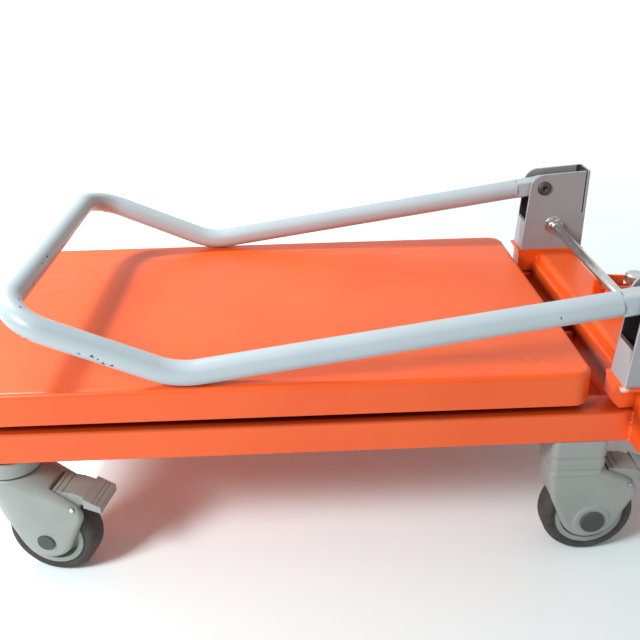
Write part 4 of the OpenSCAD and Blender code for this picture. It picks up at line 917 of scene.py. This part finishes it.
# %% The seam of the lip
lip_h, seam_r, seam_off = 10, 4.2, 0.8
seam_half = beam_high.y - 2
seam_line = [Vector((beam_low.x - seam_off, y, weld_low + lip_h + seam_off))
             for y in (-seam_half, 1 - seam_half, seam_half - 1, seam_half)]
seam = skin("lip_seam", [p * MM for p in seam_line], seam_r * MM, 20)
seam.data.materials.append(orange)
belongs(seam, "base")
print("a smooth seam of", round(2 * seam_half), "mm where the lip meets the beam")

# %% [markdown]
# ## Floor, light and background
# The floor and the background of the photograph are white. The crossbar casts two shadows on the
# platform, so there are two lamps, both at the left: a small one behind the table, and a wide soft one in
# front of it, which also lights the floor under the near rail. The world is white to the camera and in
# reflections, and weaker as a light, so that the gaps in the table stay dark. To the camera alone the
# floor is whiter than it is as a light, and far off it glows, which keeps it white without more light on
# the object. The shadow under the table keeps its depth.

# %% Floor
# Matt paint. To the eye: a plain white that takes the object's soft shadow
floor_paint, tree, shader, place = new_finish("matt_white_floor_paint")
shade = add(tree, "ShaderNodeTexNoise", {"Vector": place, "Scale": 1 / (700 * MM), "Detail": 2.0})
tone = add(tree, "ShaderNodeMix", {0: shade.outputs["Fac"], 6: linear("#F1F6F6"), 7: linear("#F7FAFA")},
           data_type="RGBA")
shader.inputs["Roughness"].default_value = 0.9


def shown_rays(tree):
    """1 for rays that the camera sees straight, in a mirror or through glass, and 0 for light."""
    rays = add(tree, "ShaderNodeLightPath")
    seen = add(tree, "ShaderNodeMath", {0: rays.outputs["Is Camera Ray"], 1: rays.outputs["Is Glossy Ray"]},
               operation="MAXIMUM")
    return add(tree, "ShaderNodeMath", {0: seen.outputs[0], 1: rays.outputs["Is Transmission Ray"]},
               operation="MAXIMUM").outputs[0]


seen_gain = (1.22, 1.34, 1.36)
shown = shown_rays(tree)
lifted = add(tree, "ShaderNodeVectorMath", {0: tone.outputs[2], 1: seen_gain}, operation="MULTIPLY")
white = add(tree, "ShaderNodeMix", {0: shown, 6: tone.outputs[2], 7: lifted.outputs[0]}, data_type="RGBA")
tree.links.new(white.outputs[2], shader.inputs["Base Color"])
far_off = add(tree, "ShaderNodeVectorMath", {0: place}, operation="LENGTH")
whiter = add(tree, "ShaderNodeMapRange", {"Value": far_off.outputs["Value"], "From Min": 600 * MM,
                                          "From Max": 2500 * MM, "To Min": 0.0, "To Max": 0.8})
faint = add(tree, "ShaderNodeMath", {0: shown, 1: whiter.outputs[0]}, operation="MULTIPLY")
glow = add(tree, "ShaderNodeEmission", {"Color": (1, 1, 1, 1), "Strength": faint.outputs[0]})
both = add(tree, "ShaderNodeAddShader", {0: shader.outputs[0], 1: glow.outputs[0]})
tree.links.new(both.outputs[0], tree.nodes["Material Output"].inputs["Surface"])
reach = 40
mesh = bpy.data.meshes.new("studio_floor")
mesh.from_pydata([(-reach, -reach, 0), (reach, -reach, 0), (reach, reach, 0), (-reach, reach, 0)], [], [(0, 1, 2, 3)])
mesh.materials.append(floor_paint)
floor = bpy.data.objects.new("studio_floor", mesh)
scene.collection.objects.link(floor)
print("floor", floor.dimensions[:])

# %% Lamps and world
def aimed(light, stand, target):
    """A lamp object at a place, pointing at a target, both in millimetres, and hidden from the camera."""
    lamp = bpy.data.objects.new(light.name, light)
    lamp.location = Vector(stand) * MM
    lamp.rotation_euler = (Vector(target) - Vector(stand)).to_track_quat("-Z", "Y").to_euler()
    lamp.visible_camera = False
    scene.collection.objects.link(lamp)


aim = (0, 0, 200)
lamps = (("lamp_behind_the_left_end", 160, 17.5, (-980, 450, 1320)),
         ("soft_box_before_the_left_end", 600, 33.5, (-1380, -1140, 1420)))
for name, size, watts, stand in lamps:
    light = bpy.data.lights.new(name, "AREA")
    light.size = size * MM
    light.energy = watts
    aimed(light, stand, aim)
world = bpy.data.worlds.new("white_studio")
world.use_nodes = True
scene.world = world
level = add(world.node_tree, "ShaderNodeMapRange", {"Value": shown_rays(world.node_tree), "To Min": 0.3,
                                                    "To Max": 1.0})
back = world.node_tree.nodes["Background"]
back.inputs["Color"].default_value = (1, 1, 1, 1)
world.node_tree.links.new(level.outputs[0], back.inputs["Strength"])
scene.view_settings.view_transform = "Standard"
print(len(lamps), "lamps and a white world")
